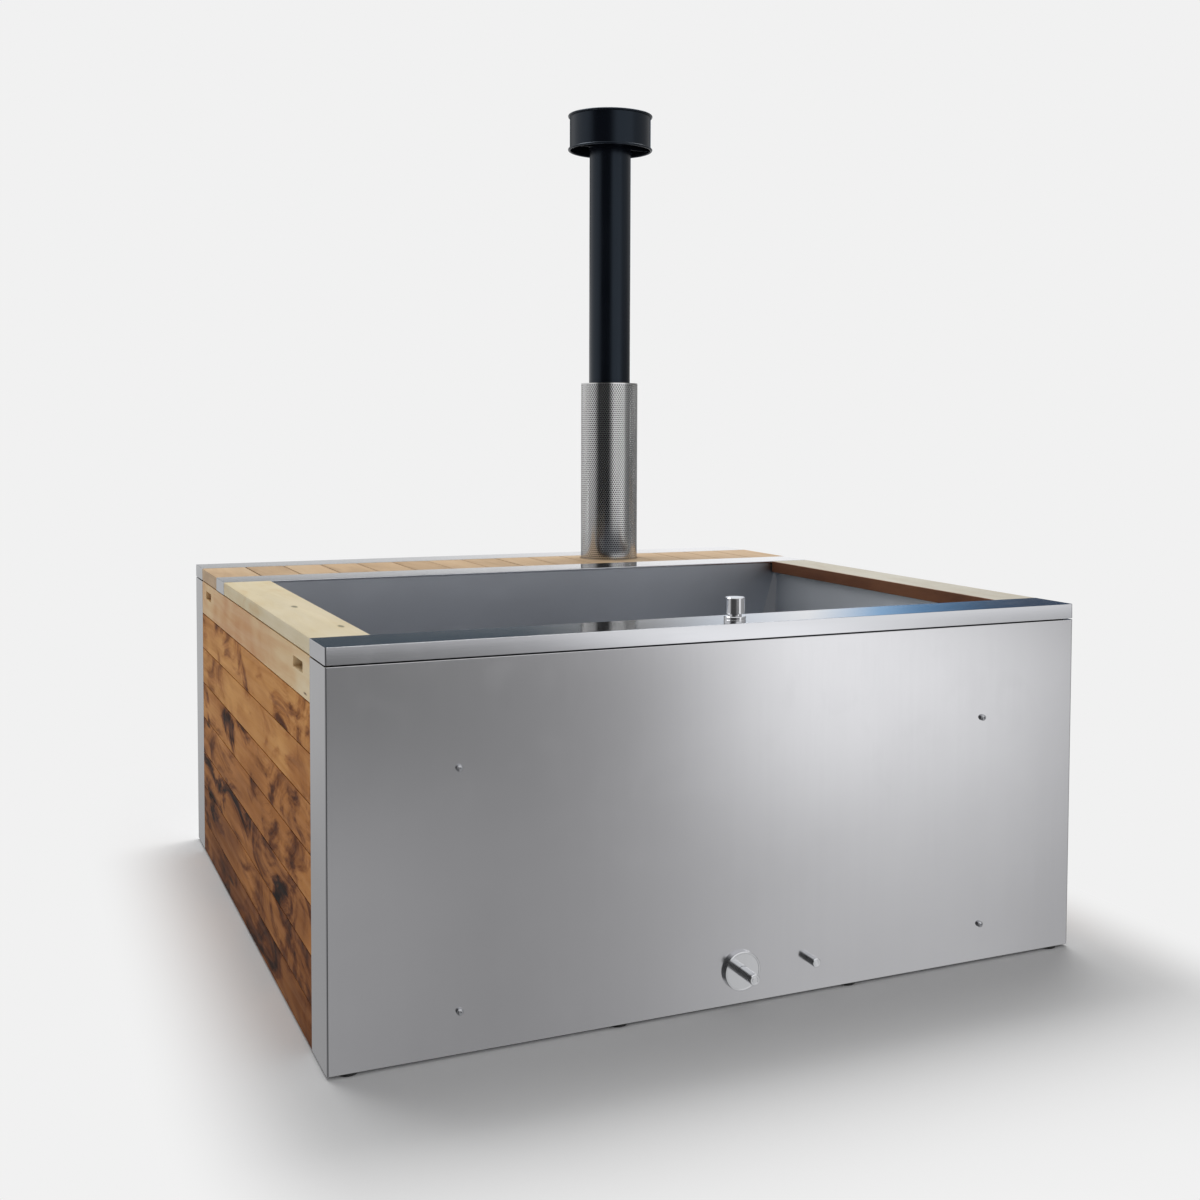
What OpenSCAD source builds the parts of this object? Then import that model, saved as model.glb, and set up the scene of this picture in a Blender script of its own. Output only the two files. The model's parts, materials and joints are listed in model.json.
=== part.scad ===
// Wood-burning hot tub: a square steel casing with a seat tub, a stove bay behind it and a chimney.
// The origin lies on the floor under the middle of the casing. X points right, the front faces -Y.

/* [Casing] */
// Width and depth of the square casing
case_w = 1720; // [1640:10:1840]
// Height of the rim above the floor
case_h = 800; // [770:5:860]
// Width of the front rim, the middle bar and the rear rim
member_w = 132; // [124:1:140]
// Height of the rim, and thickness of the boards level with it
rim_t = 33; // [28:1:38]
// Thickness of the stainless sheet
sheet_t = 2; // [1.5:0.1:2.5]
// Outer radius of the folds in the sheet
bend_r = 4; // [3:0.5:6]
// Space between the floor and the panels
ground_gap = 6; // [4:1:10]
// Seam between the rim and the panel under it
seam_gap = 3; // [2:0.5:3.5]

/* [Frame] */
// Width of the square tubes of the frame
tube_w = 40; // [36:1:42]
// Wall of the square tubes
tube_t = 3; // [2:0.5:4]
// Height of the adjustable feet
foot_h = 20; // [16:1:24]
// Diameter of a foot's pad
foot_d = 40; // [32:1:50]
// Height of the bearers under the basin
bearer_h = 50; // [48:1:56]
// Distance of the front panel's screws from the middle
screw_x = 607; // [560:1:640]
// Height of the upper row of panel screws
screw_high_z = 557; // [520:1:590]
// Height of the lower row of panel screws
screw_low_z = 89; // [80:1:110]
// Diameter of a panel screw's head
screw_d = 13.5; // [11:0.5:16]
// Height of a panel screw's head
screw_h = 8; // [5:0.5:9]

/* [Boards] */
// Width of the armrest boards
board_w = 118; // [112:1:124]
// Thickness of the side planks
plank_t = 20; // [16:1:22]
// Height of the top side plank
top_plank_h = 90; // [80:1:100]
// Distance from one lower side plank to the next
plank_pitch = 97.5; // [90:0.5:110]
// Seam between two side planks
plank_gap = 2; // [1:0.5:4]
// Front to back size of the deck behind the middle bar
deck_l = 261; // [250:1:270]
// Wanted width of a deck slat with its gap
slat_goal = 106; // [96:1:116]
// Gap between two deck slats
slat_gap = 4; // [2:0.5:6]
// Length of a finger slot
slot_l = 96; // [80:1:104]
// Height of a finger slot
slot_w = 22; // [20:1:28]
// Corner radius of a finger slot
slot_r = 3; // [2:0.5:6]
// Distance of a finger slot's centre from the end of its plank
slot_in = 114; // [95:1:150]

/* [Basin] */
// Distance from the casing's side to the basin's top edge
basin_in = 103; // [98:1:110]
// Slope of the backrests from upright, in degrees
back_angle = 6.5; // [4:0.5:16]
// Corner facet of the basin at its top
facet_top = 6; // [4:1:20]
// How fast the corner facets widen with depth
facet_share = 0.18; // [0.1:0.01:0.25]
// Diameter of the drain plug
plug_d = 70; // [64:1:78]
// Distance of the waste from the middle of the casing
waste_y = 480; // [440:5:520]

/* [Drain] */
// Height of the drain and of the jacket drain above the floor
drain_z = 76; // [72:1:80]
// Outer diameter of the drain pipe
drain_d = 40; // [36:1:42]
// Wall of the drain pipe
drain_t = 2; // [1.5:0.5:3]
// Diameter of the rosette on the front panel
rosette_d = 82; // [70:1:90]
// Thickness of the rosette
rosette_t = 10; // [6:1:12]
// Diameter of the drain knob's pin
pin_d = 23; // [18:1:28]
// How far the drain knob and the door handle stand out of the casing
reach = 62; // [56:1:70]
// Distance of the small knob from the middle
small_x = 165; // [150:1:180]
// Diameter of the small knob
small_d = 19; // [14:1:24]
// Length of the small knob
small_l = 30; // [22:1:40]
// Diameter of the jacket's drain pipe
small_pipe_d = 16; // [14:1:18]
// Diameter of the rim knob's head
rim_knob_d = 41.8; // [32:0.2:44]
// Height of the rim knob above the rim
rim_knob_h = 50; // [46:1:66]

/* [Stove] */
// Width of the stove's water jacket
jacket_w = 460; // [440:5:480]
// Distance of the water jacket's top below the rim
jacket_drop = 160; // [150:5:170]
// Steel of the water jacket
jacket_t = 3; // [2:0.5:4]
// Water gap between the jacket and the firebox
water_gap = 25; // [20:1:28]
// Steel of the firebox
fire_t = 4; // [3:0.5:5]
// Width of the fire door's opening
mouth_w = 280; // [260:2:290]
// Height of the fire door's opening
mouth_h = 220; // [200:2:230]
// Thickness of the door plate
door_t = 6; // [4:0.5:8]
// Height of the ash drawer
drawer_h = 57; // [48:1:62]
// Diameter of the circulation pipes
flow_d = 42; // [36:1:48]

/* [Chimney] */
// Distance of the chimney from the middle, to the right
flue_x = 334; // [325:1:350]
// Distance of the chimney from the rear rim's inner edge
flue_back = 100; // [96:1:106]
// Outer diameter of the flue pipe
flue_d = 125; // [118:1:132]
// Wall of the flue pipe and of the heat guard
flue_t = 2; // [1.5:0.5:2.5]
// Height of the chimney's top
flue_h = 2144; // [1900:10:2400]
// Outer diameter of the flue cap
cap_d = 256; // [220:2:280]
// Height of the flue cap
cap_h = 107; // [90:1:130]
// How far the pipe reaches into the cap
cap_over = 35; // [25:1:45]
// Outer diameter of the heat guard
guard_d = 172; // [164:1:176]
// Height of the heat guard's top above the floor
guard_top = 1334; // [1200:5:1450]

/* [Hidden] */
$fn = 64;

// Overrun of a cut past the face that it opens
cut = 1;
// Space between two pieces that move apart
seat = 0.3;
// Radial play of a turning or sliding pin in its hole
play = 0.06;
// Play round a screw or a pipe that passes through sheet
pass = 0.4;

// Levels and lines of the casing
half = case_w / 2;
rim_low = case_h - rim_t;
panel_top = rim_low - seam_gap;
under_top = case_h - sheet_t;
member_in = half - member_w;
bar_rear = member_in - deck_l;
bar_front = bar_rear - member_w;
frame_y = half - sheet_t;
frame_x = half - plank_t - sheet_t;
base_top = foot_h + tube_w;
basin_z = base_top + bearer_h;
mid_rear = bar_rear - sheet_t;
mid_front = mid_rear - tube_w;
flue_y = member_in - flue_back;
board_in = half - board_w;
board_gap = 1;
hem_h = 5;

// Feet
stem_d = 16;
foot_nut_d = 26;
foot_share = 0.4;
foot_nut_h = foot_h * foot_share;
pad_gap = 1;
foot_pad_h = ground_gap - pad_gap;
foot_mid_x = 270;

// Rails under the rim
rail_h = 2 * tube_w;
angle_t = 4;
angle_w = 58;
angle_low = under_top - tube_w;
angle_rear = angle_w - frame_y;
side_rail_x = frame_x - tube_w / 2;
side_rail_z = rim_low - sheet_t - tube_w;

// Floor bearers
bearer_inner_x = 250;
bearer_outer_x = 520;
bearer_end = 22;
stove_bearer_h = 40;
stove_bearer_x = 125;

// Folded edges of the panels
bottom_return = 10;
top_return = 17;

// Panel screws
shank_d = 8;
shank_l = 24;
screw_head_share = 0.7;
screw_crown_share = 0.62;
socket_d = 6;
socket_deep = 4;
rear_screw_x = frame_x - tube_w / 2;

// Ledges that carry the deck
ledge_mid = 18;
ledge_rear = 10;

// Side planks
plank_top = rim_low - plank_gap;
plank_end = member_in - plank_gap;
plank_in = half - plank_t;
slot_drop = 32;
slot_z = plank_top - slot_drop;
batten_w = 60;
batten_drop = 4;
batten_top = slot_z - slot_w / 2 - batten_drop;
batten_y = (mid_rear + frame_y - tube_w) / 2;
catch_l = 40;
catch_share = 0.7;
catch_y = catch_share * mid_front;

// Deck slats
slat_low = rim_low + seat;
slat_count = 2 * round(board_in / slat_goal);
slat_pitch = 2 * board_in / slat_count;
slat_front = bar_rear + board_gap;
slat_rear = member_in - board_gap;
deck_batten_h = 22;
deck_batten_low = slat_low - deck_batten_h;
batten_front_gap = 10;
batten_front_y = bar_rear + ledge_mid + batten_front_gap;
batten_front_w = 40;
batten_rear_gap = 18;
batten_rear_y = member_in - ledge_rear - batten_rear_gap;
batten_rear_w = 30;
batten_side = 3;
batten_out = frame_x - batten_side;

// Carrier of the chimney
flue_bearer_x = 130;
flue_bearer_drop = 27;
flue_bearer_top = rim_low - flue_bearer_drop;
flue_plate_w = 260;
flue_plate_t = 2;
flue_plate_gap = 4;
plate_top = flue_bearer_top + flue_plate_t;
deck_hole_gap = 3;
deck_hole_r = guard_d / 2 + deck_hole_gap;

// Basin
basin_gap = 3;
basin_half = half - basin_in;
basin_front = -member_in - basin_gap;
basin_rear = bar_front + basin_gap;
basin_t = sheet_t;
slope_t = basin_t / cos(back_angle);
facet_grow = slope_t + basin_t - basin_t * sqrt(2);

// Waste
waste_flange_d = 86;
waste_flange_t = 3;
throat_d = 50;
throat_bore = 42;
throat_gap = 1;
waste_hole_d = throat_d + 2 * throat_gap;
waste_nut_d = 66;
waste_nut_h = 8;
waste_body_d = 60;
waste_body_h = 50;
waste_wall = 4;
bridge_h = 8;
bridge_w = 14;
waste_stem_d = 8;
plug_t = 6;
lug_w = 30;
lug_h = 20;

// Drain valve and its knob
valve_d = 56;
valve_l = 55;
valve_front = 60;
spout_end = 12;
spout_l = 28;
spout_lip = 3;
spindle_d = 12;
spindle_in = 14;
panel_hole_d = 24;
drain_pipe_in = 18;

// Jacket drain
small_pipe_t = 1.5;
small_valve_d = 30;
small_valve_l = 40;
small_valve_front = 70;
small_spindle_d = 8;
small_hole_d = 10;

// Rim knob, its control box and the cable
rim_knob_y = 38;
rim_ring_d = 46;
rim_ring_h = 11;
rim_neck_d = 29;
rim_neck_h = 5;
rim_spindle_d = 10;
rim_hole_gap = 2;
control_w = 70;
control_l = 40;
control_h = 37.7;
control_side = 22;
control_deep = 8;
cable_d = 6;
cable_x = 34;
cable_z = 90;
cable_bend = 50;

// Circulation
flow_wall = 2;
flow_off = 100;
flow_drop = 80;
flow_up = 70;
grille_d = 90;
grille_t = 4;
grille_hole_d = 12;
grille_ring_r = 24;
flow_in = 4;

// Stove
jacket_low = base_top + stove_bearer_h;
jacket_top = case_h - jacket_drop;
jacket_back_gap = 22;
jacket_rear = half - jacket_back_gap;
jacket_front_gap = 26;
jacket_front = mid_rear + jacket_front_gap;
face_t = 4;
face_y = jacket_rear + face_t;
fire_x = jacket_w / 2 - jacket_t - water_gap;
fire_low = jacket_low + jacket_t + water_gap;
fire_top = jacket_top - jacket_t - water_gap;
fire_front = jacket_front + jacket_t + water_gap;
mouth_up = 140;
mouth_low = jacket_low + mouth_up;
ash_extra = 16;
ash_h = drawer_h + ash_extra;
ash_low = fire_low + fire_t;
ledge_w = 20;
grate_ledge_h = 12;
grate_up = 10;
grate_low = ash_low + ash_h + grate_up;
grate_t = 15;
grate_gap = 6;
grate_slot = 12;
grate_bars = 12;
grate_rim = 16;
grate_back = 36;
baffle_drop = 107;
baffle_low = fire_top - baffle_drop;
baffle_t = 6;
baffle_open = 45;
keeper_w = 16;
keeper_h = 30;
keeper_out = 11.5;
keeper_gap = 6;

// Ash drawer and its air slide
drawer_gap = 3;
drawer_t = 2;
drawer_front_t = 4;
drawer_over = 10;
drawer_face_drop = 12;
drawer_face_low = ash_low - drawer_face_drop;
drawer_face_rise = 17;
drawer_face_top = ash_low + ash_h + drawer_face_rise;
drawer_deep = 312;
air_hole_d = 22;
air_pitch = 50;
air_up = 22;
air_z = ash_low + air_up;
air_travel = 22;
air_plate_w = 160;
air_plate_h = 32;
air_plate_t = 2;
air_rail_h = 5;
air_lip = 4;
air_knob_d = 14;
air_knob_l = 16;
bow_w = 110;
bow_drop = 16;
bow_z = drawer_face_top - bow_drop;
bow_d = 10;
bow_out = 30;

// Stove door
door_over = 24;
door_rise = 15;
seal_t = 4;
seal_w = 10;
seal_in = 2;
hinge_d = 16;
hinge_pin_d = 8;
hinge_h = 20;
hinge_side_h = 10;
hinge_out = 10;
hinge_share = 0.32;
handle_in = 23;
handle_spindle_d = 12;
handle_hub_d = 24;
nose_l = 40;
nose_t = 8;
nose_h = 16;
nose_gap = 2;
grip_d = 28;
grip_l = 120;
grip_drop = 15;

// Chimney
spigot_play = 0.3;
spigot_t = 3;
spigot_low = fire_top - fire_t;
collar_d = 132;
collar_h = 8;
collar_up = 32;
collar_z = jacket_top + collar_up;
spigot_up = 40;
spigot_top = collar_z + spigot_up;
pipe_low = collar_z + collar_h + seat;
pipe_top = flue_h - cap_h + cap_over;
bead_r = 4;
lid_drop = 6;
strap_t = 2;
strap_h = 24;
strap_drop = 2;
strap_gap = 0.5;

// Lines that depend on several groups
spigot_r = (flue_d - 2 * flue_t) / 2 - spigot_play;
door_y0 = face_y + seal_t + seat;
door_y1 = door_y0 + door_t;
door_x0 = flue_x - mouth_w / 2 - door_over;
door_x1 = flue_x + mouth_w / 2 + door_over;
door_z0 = mouth_low - door_rise;
door_z1 = mouth_low + mouth_h + door_rise;
hinge_x = door_x0 - hinge_out;
handle_x = door_x1 - handle_in;
handle_z = (door_z0 + door_z1) / 2;
grip_y = half + reach - grip_d / 2;
drawer_low = ash_low + seat;
drawer_x = mouth_w / 2 - drawer_gap;
drawer_y = face_y + seat;

// Opening in the rear panel, round the stove's doors
bay_side = 13;
bay_half = flue_x - hinge_x + hinge_d / 2 + bay_side;
bay_under = 10;
bay_over = 15;
bay_low = drawer_face_low - bay_under;
bay_top = door_z1 + bay_over;

// Box between two opposite corners
module block(lo, hi) {
    translate(lo) cube(hi - lo);
}

// The same shape on the left and on the right
module both_sides() {
    children();
    mirror([1, 0, 0]) children();
}

// Square tube between two corners, open at both ends of the axis number run
module tube(lo, hi, run) {
    inset = [for (i = [0:2]) i == run ? -cut : tube_t];
    difference() {
        block(lo, hi);
        block(lo + inset, hi - inset);
    }
}

// Turns what stands on +Z so that it points along +Y from a place
module along_y(place) {
    translate(place) rotate([-90, 0, 0]) children();
}

// Round pipe that stands on its end
module pipe(d, bore, l) {
    difference() {
        cylinder(h = l, d = d);
        translate([0, 0, -cut]) cylinder(h = l + 2 * cut, d = bore);
    }
}

// Plan of the front end of the casing, with its two corners folded round
module end_plan(inset, past) {
    w = half - inset;
    r = bend_r - inset;
    depth = w - member_in + past;
    translate([r - w, -w]) square([2 * (w - r), depth]);
    translate([-w, r - w]) square([2 * w, depth - r]);
    for (side = [-1, 1])
        translate([side * (w - r), r - w]) circle(r);
}

// Wall of folded sheet along the front and the two front corners
module end_wall(low, high) {
    translate([0, 0, low]) linear_extrude(high - low) difference() {
        end_plan(0, 0);
        end_plan(sheet_t, cut);
    }
}

// Cap of folded sheet over one end of the casing
module end_cap() {
    end_wall(rim_low, case_h);
    translate([0, 0, under_top]) linear_extrude(sheet_t) end_plan(0, 0);
}

// Panel of folded sheet over one end of the casing
module end_panel() {
    end_wall(ground_gap, panel_top);
    end_return(bottom_return, ground_gap);
}

// Inward fold of a panel, of a width and at a height
module end_return(w, z) {
    x = half - bend_r;
    block([-x, -half + sheet_t / 2, z], [x, -half + w, z + sheet_t]);
}

module base_cross_tubes() color("dimgray") {
    tube([-frame_x, -frame_y, foot_h], [frame_x, tube_w - frame_y, base_top], 0);
    tube([-frame_x, mid_front, foot_h], [frame_x, mid_rear, base_top], 0);
    tube([-frame_x, frame_y - tube_w, foot_h], [frame_x, frame_y, base_top], 0);
}

module base_side_tubes() color("dimgray") both_sides() {
    tube([frame_x - tube_w, tube_w - frame_y, foot_h], [frame_x, mid_front, base_top], 1);
    tube([frame_x - tube_w, mid_rear, foot_h], [frame_x, frame_y - tube_w, base_top], 1);
}

module feet() color("black") {
    rows = [tube_w / 2 - frame_y, (mid_front + mid_rear) / 2, frame_y - tube_w / 2];
    for (x = [-1, 1], place = [frame_x - tube_w / 2, foot_mid_x], y = rows)
        translate([x * place, y, 0]) {
            cylinder(h = foot_pad_h, d = foot_d);
            cylinder(h = foot_h, d = stem_d);
            translate([0, 0, foot_h - foot_nut_h]) cylinder(h = foot_nut_h, d = foot_nut_d, $fn = 6);
        }
}

module screw_holes(x, y) {
    for (z = [screw_low_z, screw_high_z])
        along_y([x, y, z]) cylinder(h = shank_l + 2 * cut, d = shank_d + 2 * pass);
}

module posts() color("dimgray") both_sides() {
    x = frame_x - tube_w;
    tube([x, -frame_y, base_top], [frame_x, tube_w - frame_y, angle_low], 2);
    tube([x, mid_front, base_top], [frame_x, mid_rear, under_top - rail_h], 2);
    difference() {
        tube([x, frame_y - tube_w, base_top], [frame_x, frame_y, under_top - rail_h], 2);
        screw_holes(rear_screw_x, frame_y - shank_l);
    }
}

module front_uprights() color("dimgray") both_sides() difference() {
    tube([screw_x - tube_w / 2, -frame_y, base_top],
         [screw_x + tube_w / 2, tube_w - frame_y, angle_low], 2);
    screw_holes(screw_x, -frame_y - 2 * cut);
}

module cross_rails() color("dimgray") {
    difference() {
        union() {
            block([-frame_x, -frame_y, angle_low], [frame_x, angle_rear, angle_low + angle_t]);
            block([-frame_x, angle_rear - angle_t, angle_low], [frame_x, angle_rear, under_top]);
        }
        translate([0, rim_knob_y - half, angle_low - cut])
            cylinder(h = angle_t + 2 * cut, d = rim_spindle_d + 2 * rim_hole_gap);
    }
    tube([-frame_x, mid_front, under_top - rail_h], [frame_x, mid_rear, under_top], 0);
    tube([-frame_x, frame_y - tube_w, under_top - rail_h], [frame_x, frame_y, under_top], 0);
}

module side_rails() color("dimgray") both_sides()
    tube([side_rail_x - tube_w, angle_rear, side_rail_z],
         [side_rail_x, mid_front, side_rail_z + tube_w], 1);

module floor_bearers() color("dimgray") {
    for (x = [-bearer_outer_x, -bearer_inner_x, bearer_inner_x, bearer_outer_x])
        tube([x - tube_w / 2, -half + bearer_end / 2, base_top],
             [x + tube_w / 2, mid_rear - bearer_end, basin_z], 1);
    for (x = [flue_x - stove_bearer_x, flue_x + stove_bearer_x])
        tube([x - tube_w / 2, mid_front + bearer_end, base_top],
             [x + tube_w / 2, frame_y - sheet_t, jacket_low], 1);
}

module front_panel() color("silver") difference() {
    union() {
        end_panel();
        end_return(top_return, panel_top - sheet_t);
    }
    for (x = [-screw_x, screw_x])
        screw_holes(x, -half - cut);
    along_y([0, -half - cut, drain_z]) cylinder(h = sheet_t + 2 * cut, d = panel_hole_d);
    along_y([small_x, -half - cut, drain_z]) cylinder(h = sheet_t + 2 * cut, d = small_hole_d);
}

module rear_panel() color("silver") difference() {
    mirror([0, 1, 0]) end_panel();
    for (x = [-rear_screw_x, rear_screw_x])
        screw_holes(x, half - shank_l);
    block([flue_x - bay_half, frame_y - cut, bay_low], [flue_x + bay_half, half + cut, bay_top]);
}

// Screw with a crowned head and a socket, its head's seat at the origin and its point along +Z
module panel_screw() {
    head = screw_h * screw_head_share;
    difference() {
        union() {
            translate([0, 0, -head]) cylinder(h = head, d = screw_d);
            translate([0, 0, -screw_h])
                cylinder(h = screw_h - head, d1 = screw_d * screw_crown_share, d2 = screw_d);
            translate([0, 0, -cut]) cylinder(h = shank_l + cut, d = shank_d);
        }
        translate([0, 0, -screw_h - cut]) cylinder(h = socket_deep + cut, d = socket_d, $fn = 6);
    }
}

module panel_screws() color("gray")
    for (side = [-1, 1], z = [screw_low_z, screw_high_z]) {
        along_y([side * screw_x, -half, z]) panel_screw();
        translate([side * rear_screw_x, half, z]) rotate([90, 0, 0]) panel_screw();
    }

module front_rim() color("silver") difference() {
    union() {
        end_cap();
        block([sheet_t / 2 - half, -member_in - sheet_t, case_h - hem_h],
              [half - sheet_t / 2, -member_in, case_h]);
    }
    translate([0, rim_knob_y - half, under_top - cut])
        cylinder(h = sheet_t + 2 * cut, d = rim_spindle_d + 2 * rim_hole_gap);
}

module middle_bar() color("silver") {
    block([-half, bar_front, under_top], [half, bar_rear, case_h]);
    block([-half, bar_front, case_h - hem_h], [half, bar_front + sheet_t, case_h]);
    block([-half, bar_rear - sheet_t, rim_low], [half, bar_rear, case_h]);
    block([-frame_x, bar_rear - sheet_t, rim_low - sheet_t], [frame_x, bar_rear, case_h]);
    block([-frame_x, bar_rear - sheet_t, rim_low - sheet_t], [frame_x, bar_rear + ledge_mid, rim_low]);
    both_sides() block([half - sheet_t, bar_front, rim_low], [half, bar_rear, case_h]);
}

module rear_rim() color("silver") {
    mirror([0, 1, 0]) end_cap();
    block([sheet_t / 2 - half, member_in, rim_low], [half - sheet_t / 2, member_in + sheet_t, case_h]);
    block([-frame_x, member_in, rim_low - sheet_t], [frame_x, member_in + sheet_t, case_h]);
    block([-frame_x, member_in - ledge_rear, rim_low - sheet_t], [frame_x, member_in + sheet_t, rim_low]);
}

module armrest() color("burlywood")
    block([board_in, board_gap - member_in, rim_low], [half, bar_front - board_gap, case_h]);

module left_armrest() mirror([1, 0, 0]) armrest();

module right_armrest() armrest();

// Finger slot through the top plank at a place along Y
module finger_slot(y) {
    l = slot_l / 2;
    w = slot_w / 2;
    block([plank_in - cut, y + slot_r - l, slot_z - w], [half + cut, y + l - slot_r, slot_z + w]);
    block([plank_in - cut, y - l, slot_z + slot_r - w], [half + cut, y + l, slot_z + w - slot_r]);
    for (a = [slot_r - l, l - slot_r], b = [slot_r - w, w - slot_r])
        translate([plank_in - cut, y + a, slot_z + b]) rotate([0, 90, 0])
            cylinder(h = plank_t + 2 * cut, r = slot_r);
}

module top_plank() color("burlywood") difference() {
    block([plank_in, -plank_end, plank_top - top_plank_h + plank_gap / 2], [half, plank_end, plank_top]);
    for (side = [-1, 1])
        finger_slot(side * (plank_end - slot_in));
}

module lower_planks() color("peru") {
    first = plank_top - top_plank_h;
    for (high = [first:-plank_pitch:ground_gap + plank_gap]) {
        low = max(high - plank_pitch + plank_gap / 2, ground_gap);
        block([plank_in, -plank_end, low], [half, plank_end, high - plank_gap / 2]);
    }
}

module battens() color("peru")
    for (y = [-batten_y, 0, batten_y])
        block([plank_in - plank_t, y - batten_w / 2, base_top + seat],
              [plank_in, y + batten_w / 2, batten_top]);

module left_top_plank() mirror([1, 0, 0]) top_plank();

module left_planks() mirror([1, 0, 0]) lower_planks();

module left_battens() mirror([1, 0, 0]) battens();

module right_top_plank() top_plank();

module right_planks() lower_planks();

module right_battens() battens();

module panel_catches() color("black") both_sides()
    for (y = [-catch_y, catch_y])
        block([side_rail_x, y - catch_l / 2, side_rail_z],
              [plank_in - seat, y + catch_l / 2, side_rail_z + tube_w]);

// Slats of the right half of the deck, with the wide one at the end
module slats() {
    for (i = [0:slat_count / 2 - 1])
        block([i * slat_pitch + slat_gap / 2, slat_front, slat_low],
              [(i + 1) * slat_pitch - slat_gap / 2, slat_rear, case_h]);
    block([board_in + slat_gap / 2, slat_front, slat_low], [half, slat_rear, case_h]);
}

module deck_batten(x0, x1, y0, w) {
    block([x0, y0, deck_batten_low], [x1, y0 + w, slat_low]);
}

module hatch_slats() color("tan") mirror([1, 0, 0]) slats();

module hatch_battens() color("peru") mirror([1, 0, 0]) {
    deck_batten(slat_gap, batten_out, batten_front_y, batten_front_w);
    deck_batten(slat_gap, batten_out, batten_rear_y - batten_rear_w, batten_rear_w);
}

module deck_slats() color("tan") difference() {
    slats();
    translate([flue_x, flue_y, slat_low - cut]) cylinder(h = rim_t + 2 * cut, r = deck_hole_r);
}

module deck_battens() color("peru") {
    clear = deck_hole_r + flue_plate_gap;
    deck_batten(slat_gap, batten_out, batten_front_y, batten_front_w);
    deck_batten(slat_gap, flue_x - clear, batten_rear_y - batten_rear_w, batten_rear_w);
    deck_batten(flue_x + clear, batten_out, batten_rear_y - batten_rear_w, batten_rear_w);
}

module flue_bearers() color("dimgray")
    for (x = [flue_x - flue_bearer_x, flue_x + flue_bearer_x])
        tube([x - tube_w / 2, mid_rear, flue_bearer_top - tube_w],
             [x + tube_w / 2, frame_y - tube_w, flue_bearer_top], 1);

module flue_plate() color("silver") difference() {
    w = flue_plate_w / 2;
    block([flue_x - w, flue_y - w, flue_bearer_top], [flue_x + w, flue_y + w, plate_top]);
    translate([flue_x, flue_y, flue_bearer_top - cut])
        cylinder(h = flue_plate_t + 2 * cut, d = flue_d + 2 * flue_plate_gap);
}

// Ring of the basin's eight corners at a height, grown outwards by the sheet when grow is 1
function basin_ring(z, grow) =
    let (deep = rim_low - z)
    let (w = basin_half - deep * tan(back_angle) + grow * slope_t)
    let (c = facet_top + deep * facet_share + grow * facet_grow)
    let (front = basin_front - grow * basin_t)
    let (rear = basin_rear + grow * basin_t)
    [[w, front + c, z], [w, rear - c, z], [w - c, rear, z], [c - w, rear, z],
     [-w, rear - c, z], [-w, front + c, z], [c - w, front, z], [w - c, front, z]];

// Sloping block between two rings of the basin
module basin_block(low, high, grow) {
    n = 8;
    sides = [for (i = [0:n - 1]) [i, i + n, (i + 1) % n + n, (i + 1) % n]];
    polyhedron(
        points = concat(basin_ring(low, grow), basin_ring(high, grow)),
        faces = concat([[for (i = [0:n - 1]) i]], [[for (i = [n - 1:-1:0]) i + n]], sides));
}

module tub_basin() color("lightsteelblue") difference() {
    plate_x = basin_half - facet_top - cut;
    union() {
        basin_block(basin_z, rim_low, 1);
        block([-side_rail_x, basin_front - basin_t, rim_low - basin_t],
              [side_rail_x, basin_rear + basin_t, rim_low]);
        block([-plate_x, basin_front - basin_t, rim_low - basin_t], [plate_x, basin_front, under_top]);
        block([-plate_x, basin_rear, rim_low - basin_t], [plate_x, basin_rear + basin_t, under_top]);
    }
    basin_block(basin_z + basin_t, rim_low + cut, 0);
    translate([0, -waste_y, basin_z - cut]) cylinder(h = basin_t + 2 * cut, d = waste_hole_d);
    for (place = flow_places)
        along_y([place[0], basin_rear - cut, place[1]]) cylinder(h = basin_t + 2 * cut, d = flow_d + pass);
}

// Centres of the upper and the lower circulation pipe, across and up
flow_places = [[flue_x + flow_off, jacket_top - flow_drop], [flue_x - flow_off, jacket_low + flow_up]];

// Line of the waste's parts, on its own upright axis
module at_waste(z) {
    translate([0, -waste_y, z]) children();
}

module waste_fitting() color("silver") difference() {
    body_top = basin_z - waste_nut_h;
    body_low = body_top - waste_body_h;
    floor_top = basin_z + basin_t;
    union() {
        at_waste(floor_top) pipe(waste_flange_d, throat_bore, waste_flange_t);
        at_waste(body_top) pipe(throat_d, throat_bore, floor_top + waste_flange_t - body_top);
        at_waste(body_top) pipe(waste_nut_d, throat_bore, waste_nut_h);
        difference() {
            union() {
                at_waste(body_low) cylinder(h = waste_body_h, d = waste_body_d);
                block([0, -waste_y - waste_body_d / 2, cable_z - lug_h / 2],
                      [cable_x + lug_w / 2, -waste_y, cable_z + lug_h / 2]);
            }
            at_waste(body_low + waste_wall) cylinder(h = waste_body_h, d = waste_body_d - 2 * waste_wall);
        }
        at_waste(body_top)
            block([sheet_t - throat_d / 2, -bridge_w / 2, 0],
                  [throat_d / 2 - sheet_t, bridge_w / 2, bridge_h]);
    }
    at_waste(body_top - cut) cylinder(h = bridge_h + 2 * cut, d = waste_stem_d + 2 * play);
    along_y([0, -waste_y - waste_body_d, drain_z]) cylinder(h = waste_body_d, d = drain_d + 2 * seat);
}

module drain_plug() color("silver") at_waste(0) {
    low = basin_z + basin_t + waste_flange_t + seat;
    translate([0, 0, low]) cylinder(h = plug_t, d = plug_d);
    translate([0, 0, drain_z]) cylinder(h = low + plug_t / 2 - drain_z, d = waste_stem_d);
}

module drain_pipe() color("silver")
    along_y([0, valve_front + valve_l - half, drain_z])
        pipe(drain_d, drain_d - 2 * drain_t, half - valve_front - valve_l - waste_y - drain_pipe_in);

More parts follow.
